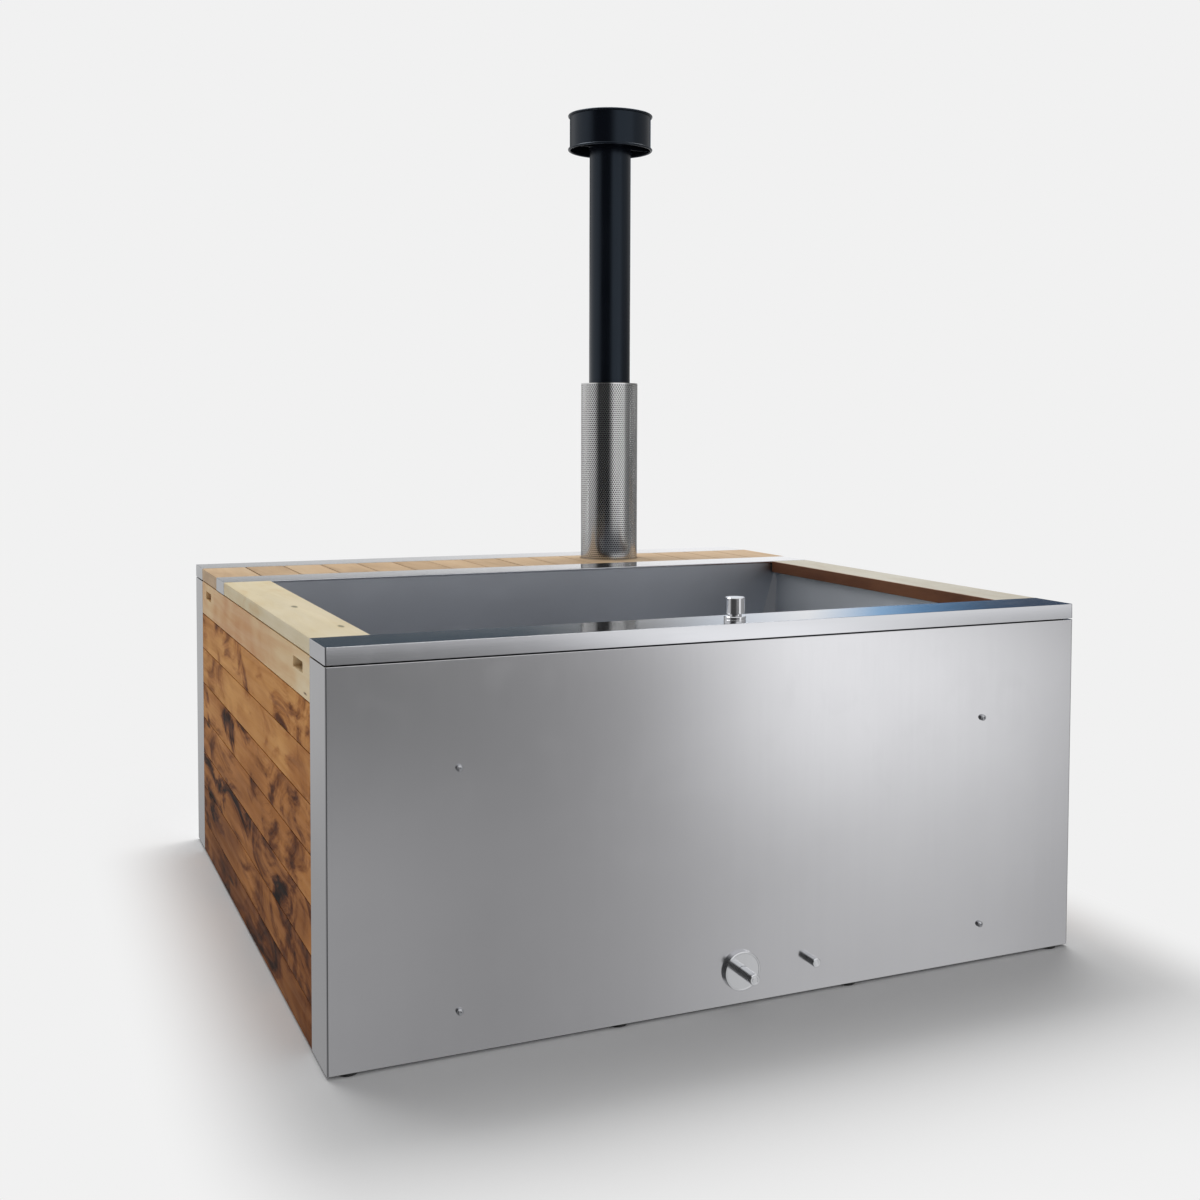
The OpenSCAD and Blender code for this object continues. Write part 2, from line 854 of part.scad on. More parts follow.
// Valve body along Y with a spout that points down and a hole for its spindle in front
module valve(x, d, l, front, bore, spout, hole) {
    y = front - half;
    difference() {
        union() {
            along_y([x, y, drain_z]) cylinder(h = l, d = d);
            translate([x, y + l / 2, spout_end]) cylinder(h = drain_z - spout_end, d = spout);
            translate([x, y + l / 2, spout_end + spout_l])
                cylinder(h = drain_z - spout_end - spout_l, d = spout + 2 * spout_lip);
        }
        along_y([x, y + l / 2, drain_z]) cylinder(h = l / 2 + cut, d = bore);
        translate([x, y + l / 2, spout_end - cut]) cylinder(h = drain_z - spout_end + cut, d = bore);
        along_y([x, y - cut, drain_z]) cylinder(h = spindle_in + cut, d = hole + 2 * play);
    }
}

module drain_valve() color("goldenrod")
    valve(0, valve_d, valve_l, valve_front, drain_d - 2 * drain_t, drain_d, spindle_d);

module jacket_drain_valve() color("goldenrod")
    valve(small_x, small_valve_d, small_valve_l, small_valve_front,
          small_pipe_d - 2 * small_pipe_t, small_pipe_d, small_spindle_d);

module drain_rosette() color("silver")
    along_y([0, -half - rosette_t, drain_z]) pipe(rosette_d, spindle_d + 2 * play, rosette_t);

module drain_knob() color("lightgray") {
    face = -half - rosette_t - seat;
    along_y([0, -half - reach, drain_z]) cylinder(h = face + half + reach, d = pin_d);
    along_y([0, face - cut, drain_z])
        cylinder(h = valve_front + spindle_in - half - face, d = spindle_d);
}

module jacket_drain_knob() color("lightgray") {
    face = -half - seat;
    along_y([small_x, face - small_l, drain_z]) cylinder(h = small_l, d = small_d);
    along_y([small_x, face - cut, drain_z])
        cylinder(h = small_valve_front + spindle_in - half - face, d = small_spindle_d);
}

// Jacket drain line of a diameter, from the stove down and forwards to its valve
module small_line(d, past) {
    y0 = small_valve_front + small_valve_l - half - past;
    y1 = jacket_front + small_pipe_d;
    along_y([small_x, y0, drain_z]) cylinder(h = y1 - y0, d = d);
    translate([small_x, y1, drain_z]) sphere(d = d);
    translate([small_x, y1, drain_z]) cylinder(h = jacket_low - drain_z + past, d = d);
}

module jacket_drain_pipe() color("silver") difference() {
    small_line(small_pipe_d, 0);
    small_line(small_pipe_d - 2 * small_pipe_t, cut);
}

// Upright axis of the rim knob
module at_rim_knob(z) {
    translate([0, rim_knob_y - half, z]) children();
}

module rim_knob() color("lightgray") {
    neck = case_h + rim_ring_h + seat;
    low = angle_low - control_h + control_deep;
    head = neck + rim_neck_h - seat;
    at_rim_knob(neck) cylinder(h = rim_neck_h, d = rim_neck_d);
    at_rim_knob(head) cylinder(h = case_h + rim_knob_h - head, d = rim_knob_d);
    at_rim_knob(low) cylinder(h = neck + cut - low, d = rim_spindle_d);
}

module rim_knob_base() color("silver")
    at_rim_knob(case_h) pipe(rim_ring_d, rim_spindle_d + 2 * play, rim_ring_h);

module rim_control() color("black") difference() {
    y = rim_knob_y - half;
    top = angle_low - seat;
    block([-control_side, y - control_l / 2, top - control_h],
          [control_w - control_side, y + control_l / 2, top]);
    at_rim_knob(top - control_h + control_deep) cylinder(h = control_h, d = rim_spindle_d + 2 * play);
}

module plug_cable() color("black") {
    y = rim_knob_y - half;
    low = cable_z + cable_bend;
    lug_y = -waste_y - waste_body_d / 2;
    translate([cable_x, y, low]) cylinder(h = angle_low - seat - control_h - low, d = cable_d);
    translate([cable_x, y + cable_bend, low]) rotate([0, 90, 0]) rotate([0, 0, -90])
        rotate_extrude(angle = 90) translate([cable_bend, 0]) circle(d = cable_d);
    along_y([cable_x, y + cable_bend, cable_z]) cylinder(h = lug_y - y - cable_bend, d = cable_d);
}

module circulation_grilles() color("silver")
    for (place = flow_places)
        along_y([place[0], basin_rear - grille_t, place[1]]) difference() {
            cylinder(h = grille_t, d = grille_d);
            translate([0, 0, -cut]) cylinder(h = grille_t + 2 * cut, d = grille_hole_d);
            for (turn = [0:45:315])
                rotate(turn) translate([grille_ring_r, 0, -cut])
                    cylinder(h = grille_t + 2 * cut, d = grille_hole_d);
        }

module circulation_pipes() color("silver")
    for (place = flow_places)
        along_y([place[0], basin_rear, place[1]])
            pipe(flow_d, flow_d - 2 * flow_wall, jacket_front + flow_in - basin_rear);

// Upright hole for the flue through the top of the stove
module flue_hole(z, h) {
    translate([flue_x, flue_y, z - cut]) cylinder(h = h + 2 * cut, r = spigot_r + pass / 2);
}

// Opening of the fire door or of the ash drawer, through the stove's face
module mouth(low, h) {
    block([flue_x - mouth_w / 2, jacket_rear - cut, low], [flue_x + mouth_w / 2, face_y + cut, low + h]);
}

module stove_jacket() color("darkslategray") {
    x0 = flue_x - jacket_w / 2;
    x1 = flue_x + jacket_w / 2;
    difference() {
        block([x0, jacket_front, jacket_low], [x1, face_y, jacket_top]);
        block([x0 + jacket_t, jacket_front + jacket_t, jacket_low + jacket_t],
              [x1 - jacket_t, jacket_rear, jacket_top - jacket_t]);
        mouth(mouth_low, mouth_h);
        mouth(ash_low, ash_h);
        flue_hole(jacket_top - jacket_t, jacket_t);
        for (place = flow_places)
            along_y([place[0], jacket_front - cut, place[1]])
                cylinder(h = jacket_t + 2 * cut, d = flow_d + pass);
        translate([small_x, jacket_front + small_pipe_d, jacket_low - cut])
            cylinder(h = jacket_t + 2 * cut, d = small_pipe_d - 2 * small_pipe_t);
    }
    block([door_x1 + keeper_gap, face_y, handle_z - keeper_h / 2],
          [door_x1 + keeper_gap + keeper_w, face_y + keeper_out, handle_z + keeper_h / 2]);
}

module firebox() color("dimgray") difference() {
    x0 = flue_x - fire_x;
    x1 = flue_x + fire_x;
    union() {
        difference() {
            block([x0, fire_front, fire_low], [x1, jacket_rear, fire_top]);
            block([x0 + fire_t, fire_front + fire_t, fire_low + fire_t],
                  [x1 - fire_t, jacket_rear + cut, fire_top - fire_t]);
        }
        for (top = [grate_low, baffle_low], side = [x0 + fire_t / 2, x1 - fire_t / 2 - ledge_w])
            block([side, fire_front + fire_t / 2, top - grate_ledge_h], [side + ledge_w, jacket_rear, top]);
    }
    flue_hole(fire_top - fire_t, fire_t);
}

module grate() color("dimgray") difference() {
    x0 = flue_x - fire_x + fire_t + grate_gap;
    x1 = flue_x + fire_x - fire_t - grate_gap;
    y0 = fire_front + fire_t + grate_gap;
    y1 = jacket_rear - grate_back;
    block([x0, y0, grate_low], [x1, y1, grate_low + grate_t]);
    pitch = (x1 - x0 - 2 * grate_rim - 2 * ledge_w) / grate_bars;
    for (i = [0:grate_bars - 1]) {
        x = x0 + grate_rim + ledge_w + (i + 0.5) * pitch;
        block([x - grate_slot / 2, y0 + grate_rim, grate_low - cut],
              [x + grate_slot / 2, y1 - grate_rim, grate_low + grate_t + cut]);
    }
}

module baffle_plate() color("dimgray") {
    x = fire_x - fire_t - grate_gap;
    block([flue_x - x, fire_front + fire_t + baffle_open, baffle_low],
          [flue_x + x, jacket_rear - grate_gap, baffle_low + baffle_t]);
}

module ash_drawer() color("dimgray") {
    x0 = flue_x - drawer_x;
    x1 = flue_x + drawer_x;
    front = drawer_y - drawer_deep;
    face = drawer_y + drawer_front_t;
    difference() {
        union() {
            block([x0, front, drawer_low], [x1, drawer_y + drawer_t, drawer_low + drawer_h]);
            block([flue_x - mouth_w / 2 - drawer_over, drawer_y, drawer_face_low],
                  [flue_x + mouth_w / 2 + drawer_over, face, drawer_face_top]);
        }
        block([x0 + drawer_t, front + drawer_t, drawer_low + drawer_t],
              [x1 - drawer_t, drawer_y, drawer_low + drawer_h + cut]);
        for (i = [-1:1])
            along_y([flue_x + i * air_pitch, drawer_y - cut, air_z])
                cylinder(h = drawer_front_t + 2 * cut, d = air_hole_d);
    }
    air_rail();
    mirror_z(air_z) air_rail();
    for (side = [-1, 1])
        along_y([flue_x + side * bow_w / 2, face - cut, bow_z])
            cylinder(h = bow_out + cut - bow_d / 2, d = bow_d);
    translate([flue_x - bow_w / 2, face + bow_out - bow_d / 2, bow_z]) rotate([0, 90, 0])
        cylinder(h = bow_w, d = bow_d);
    for (side = [-1, 1])
        translate([flue_x + side * bow_w / 2, face + bow_out - bow_d / 2, bow_z]) sphere(d = bow_d);
}

// Mirrors a shape about a level plane
module mirror_z(z) {
    translate([0, 0, z]) mirror([0, 0, 1]) translate([0, 0, -z]) children();
}

// Rail over the air slide, with a lip in front of it
module air_rail() {
    face = drawer_y + drawer_front_t;
    edge = air_z + air_plate_h / 2 + seat;
    lip_y = face + 2 * seat + air_plate_t;
    w = air_plate_w / 2 + air_travel;
    block([flue_x - w, face - cut, edge], [flue_x + w, lip_y + air_plate_t, edge + air_rail_h]);
    block([flue_x - w, lip_y, edge - air_lip], [flue_x + w, lip_y + air_plate_t, edge + air_rail_h]);
}

module air_slide() color("silver") {
    y = drawer_y + drawer_front_t + seat;
    difference() {
        block([flue_x - air_plate_w / 2, y, air_z - air_plate_h / 2],
              [flue_x + air_plate_w / 2, y + air_plate_t, air_z + air_plate_h / 2]);
        for (i = [-1:1])
            along_y([flue_x + i * air_pitch, y - cut, air_z])
                cylinder(h = air_plate_t + 2 * cut, d = air_hole_d);
    }
    along_y([flue_x + air_pitch / 2, y + air_plate_t / 2, air_z])
        cylinder(h = air_knob_l + air_plate_t / 2, d = air_knob_d);
}

// Levels of the two hinges
hinge_levels = [handle_z - hinge_share * (door_z1 - door_z0), handle_z + hinge_share * (door_z1 - door_z0)];

module stove_door() color("darkslategray") difference() {
    union() {
        block([door_x0, door_y0, door_z0], [door_x1, door_y1, door_z1]);
        for (z = hinge_levels) {
            block([hinge_x, door_y0, z - hinge_h / 2], [door_x0 + cut, door_y1, z + hinge_h / 2]);
            translate([hinge_x, door_y1, z - hinge_h / 2]) cylinder(h = hinge_h, d = hinge_d);
        }
    }
    for (z = hinge_levels)
        translate([hinge_x, door_y1, z - hinge_h / 2 - cut])
            cylinder(h = hinge_h + 2 * cut, d = hinge_pin_d + 2 * play);
    along_y([handle_x, door_y0 - cut, handle_z])
        cylinder(h = door_t + 2 * cut, d = handle_spindle_d + 2 * play);
}

module door_seal() color("white") difference() {
    inner = mouth_w / 2 + seal_in;
    outer = inner + seal_w;
    block([flue_x - outer, door_y0 - seal_t, mouth_low - seal_in - seal_w],
          [flue_x + outer, door_y0, mouth_low + mouth_h + seal_in + seal_w]);
    block([flue_x - inner, door_y0 - seal_t - cut, mouth_low - seal_in],
          [flue_x + inner, door_y0 + cut, mouth_low + mouth_h + seal_in]);
}

module door_hinges() color("dimgray")
    for (z = hinge_levels) {
        far = hinge_h / 2 + seat;
        for (low = [z - far - hinge_side_h, z + far]) {
            translate([hinge_x, door_y1, low]) cylinder(h = hinge_side_h, d = hinge_d);
            block([hinge_x - hinge_d / 2, face_y, low],
                  [hinge_x + hinge_d / 2 - seat, door_y1, low + hinge_side_h]);
        }
        translate([hinge_x, door_y1, z - far - hinge_side_h / 2])
            cylinder(h = 2 * far + hinge_side_h, d = hinge_pin_d);
    }

module door_handle() color("black") {
    nose_y = door_y1 + nose_gap;
    along_y([handle_x, door_y0 + seat, handle_z]) cylinder(h = grip_y - door_y0, d = handle_spindle_d);
    along_y([handle_x, door_y1 + seat, handle_z]) cylinder(h = nose_gap + nose_t - seat, d = handle_hub_d);
    block([handle_x, nose_y, handle_z - nose_h / 2],
          [handle_x + nose_l, nose_y + nose_t, handle_z + nose_h / 2]);
    translate([handle_x, grip_y, handle_z + grip_drop - grip_l]) cylinder(h = grip_l, d = grip_d);
}

// Upright axis of the chimney
module at_flue(z) {
    translate([flue_x, flue_y, z]) children();
}

module flue_spigot() color("dimgray") {
    at_flue(spigot_low) pipe(2 * spigot_r, 2 * (spigot_r - spigot_t), spigot_top - spigot_low);
    at_flue(collar_z) pipe(collar_d, 2 * spigot_r - spigot_t, collar_h);
}

module flue_pipe() color("black") at_flue(pipe_low) pipe(flue_d, flue_d - 2 * flue_t, pipe_top - pipe_low);

module flue_cap() color("black") at_flue(flue_h - cap_h) rotate_extrude() {
    r = cap_d / 2;
    translate([r - flue_t, bead_r]) square([flue_t, cap_h - 2 * bead_r]);
    translate([0, cap_h - lid_drop - flue_t]) square([r - flue_t / 2, flue_t]);
    for (z = [bead_r, cap_h - bead_r])
        translate([r - bead_r, z]) circle(r = bead_r);
}

module cap_brackets() color("black") {
    low = flue_h - cap_h + 2 * bead_r + cut;
    for (turn = [0:90:270])
        at_flue(low) rotate(turn) {
            r0 = flue_d / 2 + pass / 2;
            r1 = cap_d / 2 - flue_t - strap_gap;
            block([r0, -strap_h / 2, 0], [r0 + strap_t, strap_h / 2, strap_h]);
            block([r0, -strap_t / 2, 0], [r1, strap_t / 2, strap_h]);
            block([r1 - strap_t, -strap_h / 2 + strap_drop, 0], [r1, strap_h / 2 - strap_drop, strap_h]);
        }
}

module heat_guard() color("silver")
    at_flue(plate_top + seat) pipe(guard_d, guard_d - 2 * flue_t, guard_top - plate_top - seat);

base_cross_tubes();
base_side_tubes();
feet();
posts();
front_uprights();
cross_rails();
side_rails();
floor_bearers();
front_panel();
rear_panel();
panel_screws();
front_rim();
middle_bar();
rear_rim();
left_armrest();
right_armrest();
left_top_plank();
left_planks();
left_battens();
right_top_plank();
right_planks();
right_battens();
panel_catches();
hatch_slats();
hatch_battens();
deck_slats();
deck_battens();
flue_bearers();
flue_plate();
tub_basin();
waste_fitting();
drain_plug();
drain_pipe();
drain_valve();
drain_rosette();
drain_knob();
jacket_drain_pipe();
jacket_drain_valve();
jacket_drain_knob();
rim_knob();
rim_knob_base();
rim_control();
plug_cable();
circulation_grilles();
circulation_pipes();
stove_jacket();
firebox();
grate();
baffle_plate();
ash_drawer();
air_slide();
stove_door();
door_seal();
door_hinges();
door_handle();
flue_spigot();
flue_pipe();
flue_cap();
cap_brackets();
heat_guard();
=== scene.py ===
"""Looks of the wood-burning hot tub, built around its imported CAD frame. Metres, row frame: the front faces -Y."""

import json
import math

import bmesh
import bpy
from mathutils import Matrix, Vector

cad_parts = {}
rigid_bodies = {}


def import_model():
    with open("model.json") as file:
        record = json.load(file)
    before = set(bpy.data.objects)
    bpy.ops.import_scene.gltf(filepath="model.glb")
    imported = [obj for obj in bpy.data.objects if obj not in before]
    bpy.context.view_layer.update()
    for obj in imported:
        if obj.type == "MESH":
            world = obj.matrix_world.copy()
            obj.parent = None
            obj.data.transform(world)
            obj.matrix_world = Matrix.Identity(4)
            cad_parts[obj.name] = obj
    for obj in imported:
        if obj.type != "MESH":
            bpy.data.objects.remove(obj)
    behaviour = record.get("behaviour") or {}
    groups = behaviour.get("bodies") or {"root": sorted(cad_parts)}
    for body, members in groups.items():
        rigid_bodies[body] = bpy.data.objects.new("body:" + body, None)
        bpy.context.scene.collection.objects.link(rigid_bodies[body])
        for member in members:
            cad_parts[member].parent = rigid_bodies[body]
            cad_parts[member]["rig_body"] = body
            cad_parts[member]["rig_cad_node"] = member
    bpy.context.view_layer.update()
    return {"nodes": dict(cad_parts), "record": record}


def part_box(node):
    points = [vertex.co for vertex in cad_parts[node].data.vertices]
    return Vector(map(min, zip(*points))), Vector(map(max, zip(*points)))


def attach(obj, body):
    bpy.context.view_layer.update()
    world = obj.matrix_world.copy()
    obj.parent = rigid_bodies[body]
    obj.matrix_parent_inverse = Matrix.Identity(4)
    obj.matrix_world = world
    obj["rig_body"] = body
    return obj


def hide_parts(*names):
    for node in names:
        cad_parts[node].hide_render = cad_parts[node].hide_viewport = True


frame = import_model()
nodes = frame["nodes"]
slot_of = {name: node.data.materials[0].name for name, node in nodes.items()}
body_of = {name: body for body, names in frame["record"]["behaviour"]["bodies"].items() for name in names}

# ---------------------------------------------------------------- camera

bpy.ops.object.camera_add(location=(-1.4222, -3.4848, 1.2022), rotation=(1.52460421, -0.0046813, -0.42873569))
camera = bpy.context.object
camera.name = "camera"
camera.data.sensor_width = 36
camera.data.lens = 43.716
camera.data.shift_x = -0.0383
camera.data.shift_y = -0.0882
bpy.context.scene.camera = camera
bpy.context.scene.view_settings.view_transform = "Standard"

# ---------------------------------------------------------------- nodes of a finish


def linear(red, green, blue):
    """An eye's colour, 0 to 255, as the renderer's numbers."""
    return tuple(c / 12.92 if c < 0.04045 else ((c + 0.055) / 1.055) ** 2.4
                 for c in (red / 255, green / 255, blue / 255)) + (1.0,)


def socket(tree, kind, inputs=None, output=0, **settings):
    """Adds a shader node, sets or links its inputs, and returns one of its outputs."""
    node = tree.nodes.new("ShaderNode" + kind)
    for key, value in settings.items():
        setattr(node, key, value)
    for key, value in (inputs or {}).items():
        if isinstance(value, bpy.types.NodeSocket):
            tree.links.new(value, node.inputs[key])
        else:
            node.inputs[key].default_value = value
    return node.outputs[output]


def sums(tree, operation, first, second=0.0):
    """One step of arithmetic."""
    return socket(tree, "Math", {0: first, 1: second}, operation=operation)


def spread(tree, value, low, high, to_low=0.0, to_high=1.0, smooth=True):
    """Maps low..high to to_low..to_high and stops at the ends."""
    inputs = {"Value": value, "From Min": low, "From Max": high, "To Min": to_low, "To Max": to_high}
    return socket(tree, "MapRange", inputs, interpolation_type="SMOOTHSTEP" if smooth else "LINEAR")


def noise(tree, place, stretch, detail=3.0, distortion=0.0, roughness=0.5):
    """Noise with about stretch blobs to the metre along each axis."""
    scaled = socket(tree, "VectorMath", {0: place, 1: stretch}, operation="MULTIPLY")
    inputs = {"Vector": scaled, "Scale": 1.0, "Detail": detail, "Distortion": distortion, "Roughness": roughness}
    return socket(tree, "TexNoise", inputs)


def ramp(tree, value, stops):
    """A colour ramp through (place, colour) stops."""
    out = socket(tree, "ValToRGB", {"Fac": value})
    points = out.node.color_ramp.elements
    points[0].position, points[0].color = stops[0]
    points[1].position, points[1].color = stops[-1]
    for place, colour in stops[1:-1]:
        points.new(place).color = colour
    return out


def tint(tree, factor, first, second, blend="MIX"):
    """Mixes two colours."""
    node = socket(tree, "Mix", data_type="RGBA", blend_type=blend).node
    for number, value in ((0, factor), (6, first), (7, second)):
        if isinstance(value, bpy.types.NodeSocket):
            tree.links.new(value, node.inputs[number])
        else:
            node.inputs[number].default_value = value
    return node.outputs[2]


def new_finish(name):
    """A new material, its tree and its shader."""
    made = bpy.data.materials.new(name)
    made.use_nodes = True
    return made, made.node_tree, made.node_tree.nodes["Principled BSDF"]


def wire(tree, shader, **inputs):
    """Links or sets the shader's sockets; Base_Color stands for Base Color."""
    for key, value in inputs.items():
        target = shader.inputs[key.replace("_", " ")]
        if isinstance(value, bpy.types.NodeSocket):
            tree.links.new(value, target)
        else:
            target.default_value = value


def grained(axis, across, along):
    """A stretch with its long way on one axis."""
    return tuple(along if number == axis else across for number in range(3))


# ---------------------------------------------------------------- finishes


def steel(name, colour, rough, brush, streaks=0.015, painted_reflection_clouds=0.03, bump=0.02, smear=0.0):
    """Brushed sheet: fine lines along one axis, soft clouds of painted reflection in its colour, and faint handling
    marks.
    """
    made, tree, shader = new_finish(name)
    place = socket(tree, "TexCoord", output="Object")
    fine = noise(tree, place, grained(brush, 900, 14), detail=4, roughness=0.7)
    wide = noise(tree, place, grained(brush, 60, 1.5), detail=3)
    # soft clouds that lighten and darken the colour: painted reflection
    painted_reflection_cloud = noise(tree, place, (2.3, 2.3, 2.9), detail=4, distortion=0.4)
    marks = noise(tree, place, (9, 9, 7), detail=5, distortion=1.2)
    shade = sums(tree, "ADD", spread(tree, painted_reflection_cloud, 0.3, 0.7, 1 - painted_reflection_clouds, 1 + painted_reflection_clouds * 0.4),
                 spread(tree, wide, 0.3, 0.7, -streaks, streaks * 0.6))
    base = tint(tree, 1.0, linear(*colour), socket(tree, "CombineColor", {0: shade, 1: shade, 2: shade}), "MULTIPLY")
    roughness = sums(tree, "ADD", spread(tree, fine, 0.25, 0.75, rough * 0.92, rough * 1.08),
                     spread(tree, marks, 0.5, 0.75, 0.0, rough * 0.12))
    if smear:
        wire(tree, shader, Anisotropic=smear, Tangent=socket(tree, "CombineXYZ", {0: 0.1, 1: 0.1, 2: 1.0}))
    wire(tree, shader, Base_Color=base, Metallic=1.0, Roughness=roughness,
         Normal=socket(tree, "Bump", {"Height": fine, "Strength": bump, "Distance": 0.0004}))
    return made


def coat(name, colour, rough, speckle=240, depth=0.15, metallic=0.0, wear=None, shine=0.5, cool=1.0):
    """Paint, plastic or cast metal with a fine grain, and dust or wear in soft patches."""
    made, tree, shader = new_finish(name)
    place = socket(tree, "TexCoord", output="Object")
    grain = noise(tree, place, (speckle,) * 3, detail=3)
    patch = noise(tree, place, (7, 7, 5), detail=5, distortion=0.6)
    base = tint(tree, spread(tree, patch, 0.45, 0.8, 0.0, 0.35), linear(*colour),
                linear(*(wear or tuple(min(255, c * 1.5 + 14) for c in colour))))
    shader.inputs["Specular IOR Level"].default_value = shine
    shader.inputs["Specular Tint"].default_value = (cool * cool, cool, 1.0, 1.0)
    wire(tree, shader, Base_Color=base, Metallic=metallic,
         Roughness=spread(tree, patch, 0.3, 0.7, rough * 0.85, rough * 1.12),
         Normal=socket(tree, "Bump", {"Height": grain, "Strength": depth, "Distance": 0.0005}))
    return made


def wood(name, grain, tones, stain, knot, knots=(7.5, 1.1, 0.05), aged=0.0, rough=0.5, shine=0.3, patchy=0.55):
    """Oiled boards. Each board's attribute gives a seed, its tone, and how much of it is stained."""
    made, tree, shader = new_finish(name)
    board = socket(tree, "SeparateXYZ", {0: socket(tree, "Attribute", output="Vector", attribute_name="board")}).node
    seed, tone, stained = board.outputs
    object_place = socket(tree, "TexCoord", output="Object")
    shift = socket(tree, "CombineXYZ", {0: sums(tree, "MULTIPLY", seed, 7.31), 1: sums(tree, "MULTIPLY", seed, 3.17),
                                        2: sums(tree, "MULTIPLY", seed, 5.77)})
    place = socket(tree, "VectorMath", {0: object_place, 1: shift}, operation="ADD")
    slow = noise(tree, place, grained(grain, 7, 0.9), detail=2, distortion=0.25)
    waves = sums(tree, "SINE", sums(tree, "MULTIPLY", slow, 60.0))
    figure = spread(tree, waves, -0.6, 1.0)
    fibre = noise(tree, place, grained(grain, 380, 7), detail=4, roughness=0.65)
    streak = noise(tree, place, grained(grain, 50, 1.6), detail=4, roughness=0.6)
    drift = noise(tree, place, grained(grain, 4, 2.0), detail=4, distortion=0.6)
    flame = noise(tree, place, grained(grain, 9, 3.4), detail=6, distortion=1.3, roughness=0.62)
    mask = sums(tree, "MULTIPLY", spread(tree, flame, 0.43, 0.72), stained)
    value = sums(tree, "ADD", 0.30, tone)
    for part, share in ((figure, 0.05), (fibre, 0.10), (streak, 0.14), (drift, patchy)):
        centred = sums(tree, "SUBTRACT", part, 0.5)
        value = sums(tree, "ADD", value, sums(tree, "MULTIPLY", centred, share))
    value = sums(tree, "ADD", value, sums(tree, "MULTIPLY", mask, stain))
    base = ramp(tree, value, [(spot, linear(*colour)) for spot, colour in tones])
    # knots: few, small, drawn out along the grain
    axes = socket(tree, "SeparateXYZ", {0: place}).node.outputs
    across = [number for number in range(3) if number != grain]
    flat = socket(tree, "CombineXYZ", {
        0: sums(tree, "MULTIPLY", sums(tree, "ADD", axes[across[0]], axes[across[1]]), knots[0]),
        1: sums(tree, "MULTIPLY", axes[grain], knots[1])})
    spots = socket(tree, "TexVoronoi", {"Vector": flat, "Scale": 1.0}, voronoi_dimensions="2D")
    eye = spread(tree, sums(tree, "ADD", spots, sums(tree, "MULTIPLY", streak, 0.04)), knots[2], knots[2] * 1.5, 1.0, 0.0)
    base = tint(tree, sums(tree, "MULTIPLY", eye, 0.85), base, linear(*knot))
    if aged:
        far = socket(tree, "SeparateXYZ", {0: object_place}, output="Y")
        rear = sums(tree, "MULTIPLY", spread(tree, far, -0.1, 0.75), aged)
        base = tint(tree, sums(tree, "MULTIPLY", rear, spread(tree, streak, 0.35, 0.65)), base, linear(96, 78, 60))
    height = sums(tree, "ADD", fibre, sums(tree, "MULTIPLY", figure, 0.4))
    shader.inputs["Specular IOR Level"].default_value = shine
    wire(tree, shader, Base_Color=base, Roughness=spread(tree, streak, 0.3, 0.7, rough - 0.06, rough + 0.08),
         Normal=socket(tree, "Bump", {"Height": height, "Strength": 0.22, "Distance": 0.0006}))
    return made


def rope(name):
    """Woven glass rope: slanted strands."""
    made, tree, shader = new_finish(name)
    place = socket(tree, "TexCoord", output="Object")
    strands = socket(tree, "TexWave", {"Vector": place, "Scale": 220.0, "Distortion": 1.5, "Detail": 2.0},
                     wave_type="BANDS", bands_direction="DIAGONAL")
    base = ramp(tree, strands, [(0.0, linear(150, 146, 136)), (1.0, linear(228, 225, 216))])
    wire(tree, shader, Base_Color=base, Roughness=0.9,
         Normal=socket(tree, "Bump", {"Height": strands, "Strength": 0.6, "Distance": 0.001}))
    return made


# wood tones, each from its pale wood to its dark stain; SHADED is the armrest wood in painted shade
HONEY = [(0.0, (224, 211, 182)), (0.3, (214, 199, 164)), (0.5, (206, 180, 134)), (0.75, (186, 144, 94)), (1.0, (112, 78, 48))]
PALE = [(0.0, (216, 212, 198)), (0.3, (202, 195, 178)), (0.6, (186, 174, 152)), (0.85, (150, 128, 100)), (1.0, (96, 74, 54))]
TAN = [(0.0, (210, 186, 154)), (0.3, (196, 167, 132)), (0.6, (168, 139, 106)), (0.85, (126, 96, 68)), (1.0, (80, 58, 40))]
GOLD = [(0.0, (236, 222, 190)), (0.25, (222, 192, 148)), (0.5, (202, 150, 104)), (0.75, (164, 106, 66)), (1.0, (76, 44, 28))]
UMBER = [(0.0, (234, 188, 124)), (0.22, (214, 158, 94)), (0.45, (178, 118, 64)), (0.7, (112, 64, 33)), (0.88, (58, 32, 19)),
         (1.0, (32, 19, 13))]
RAW = [(0.0, (196, 166, 128)), (0.4, (170, 136, 98)), (0.8, (128, 96, 66)), (1.0, (86, 62, 44))]
SHADED = [(0.0, (140, 92, 62)), (0.5, (104, 64, 42)), (1.0, (60, 34, 24))]

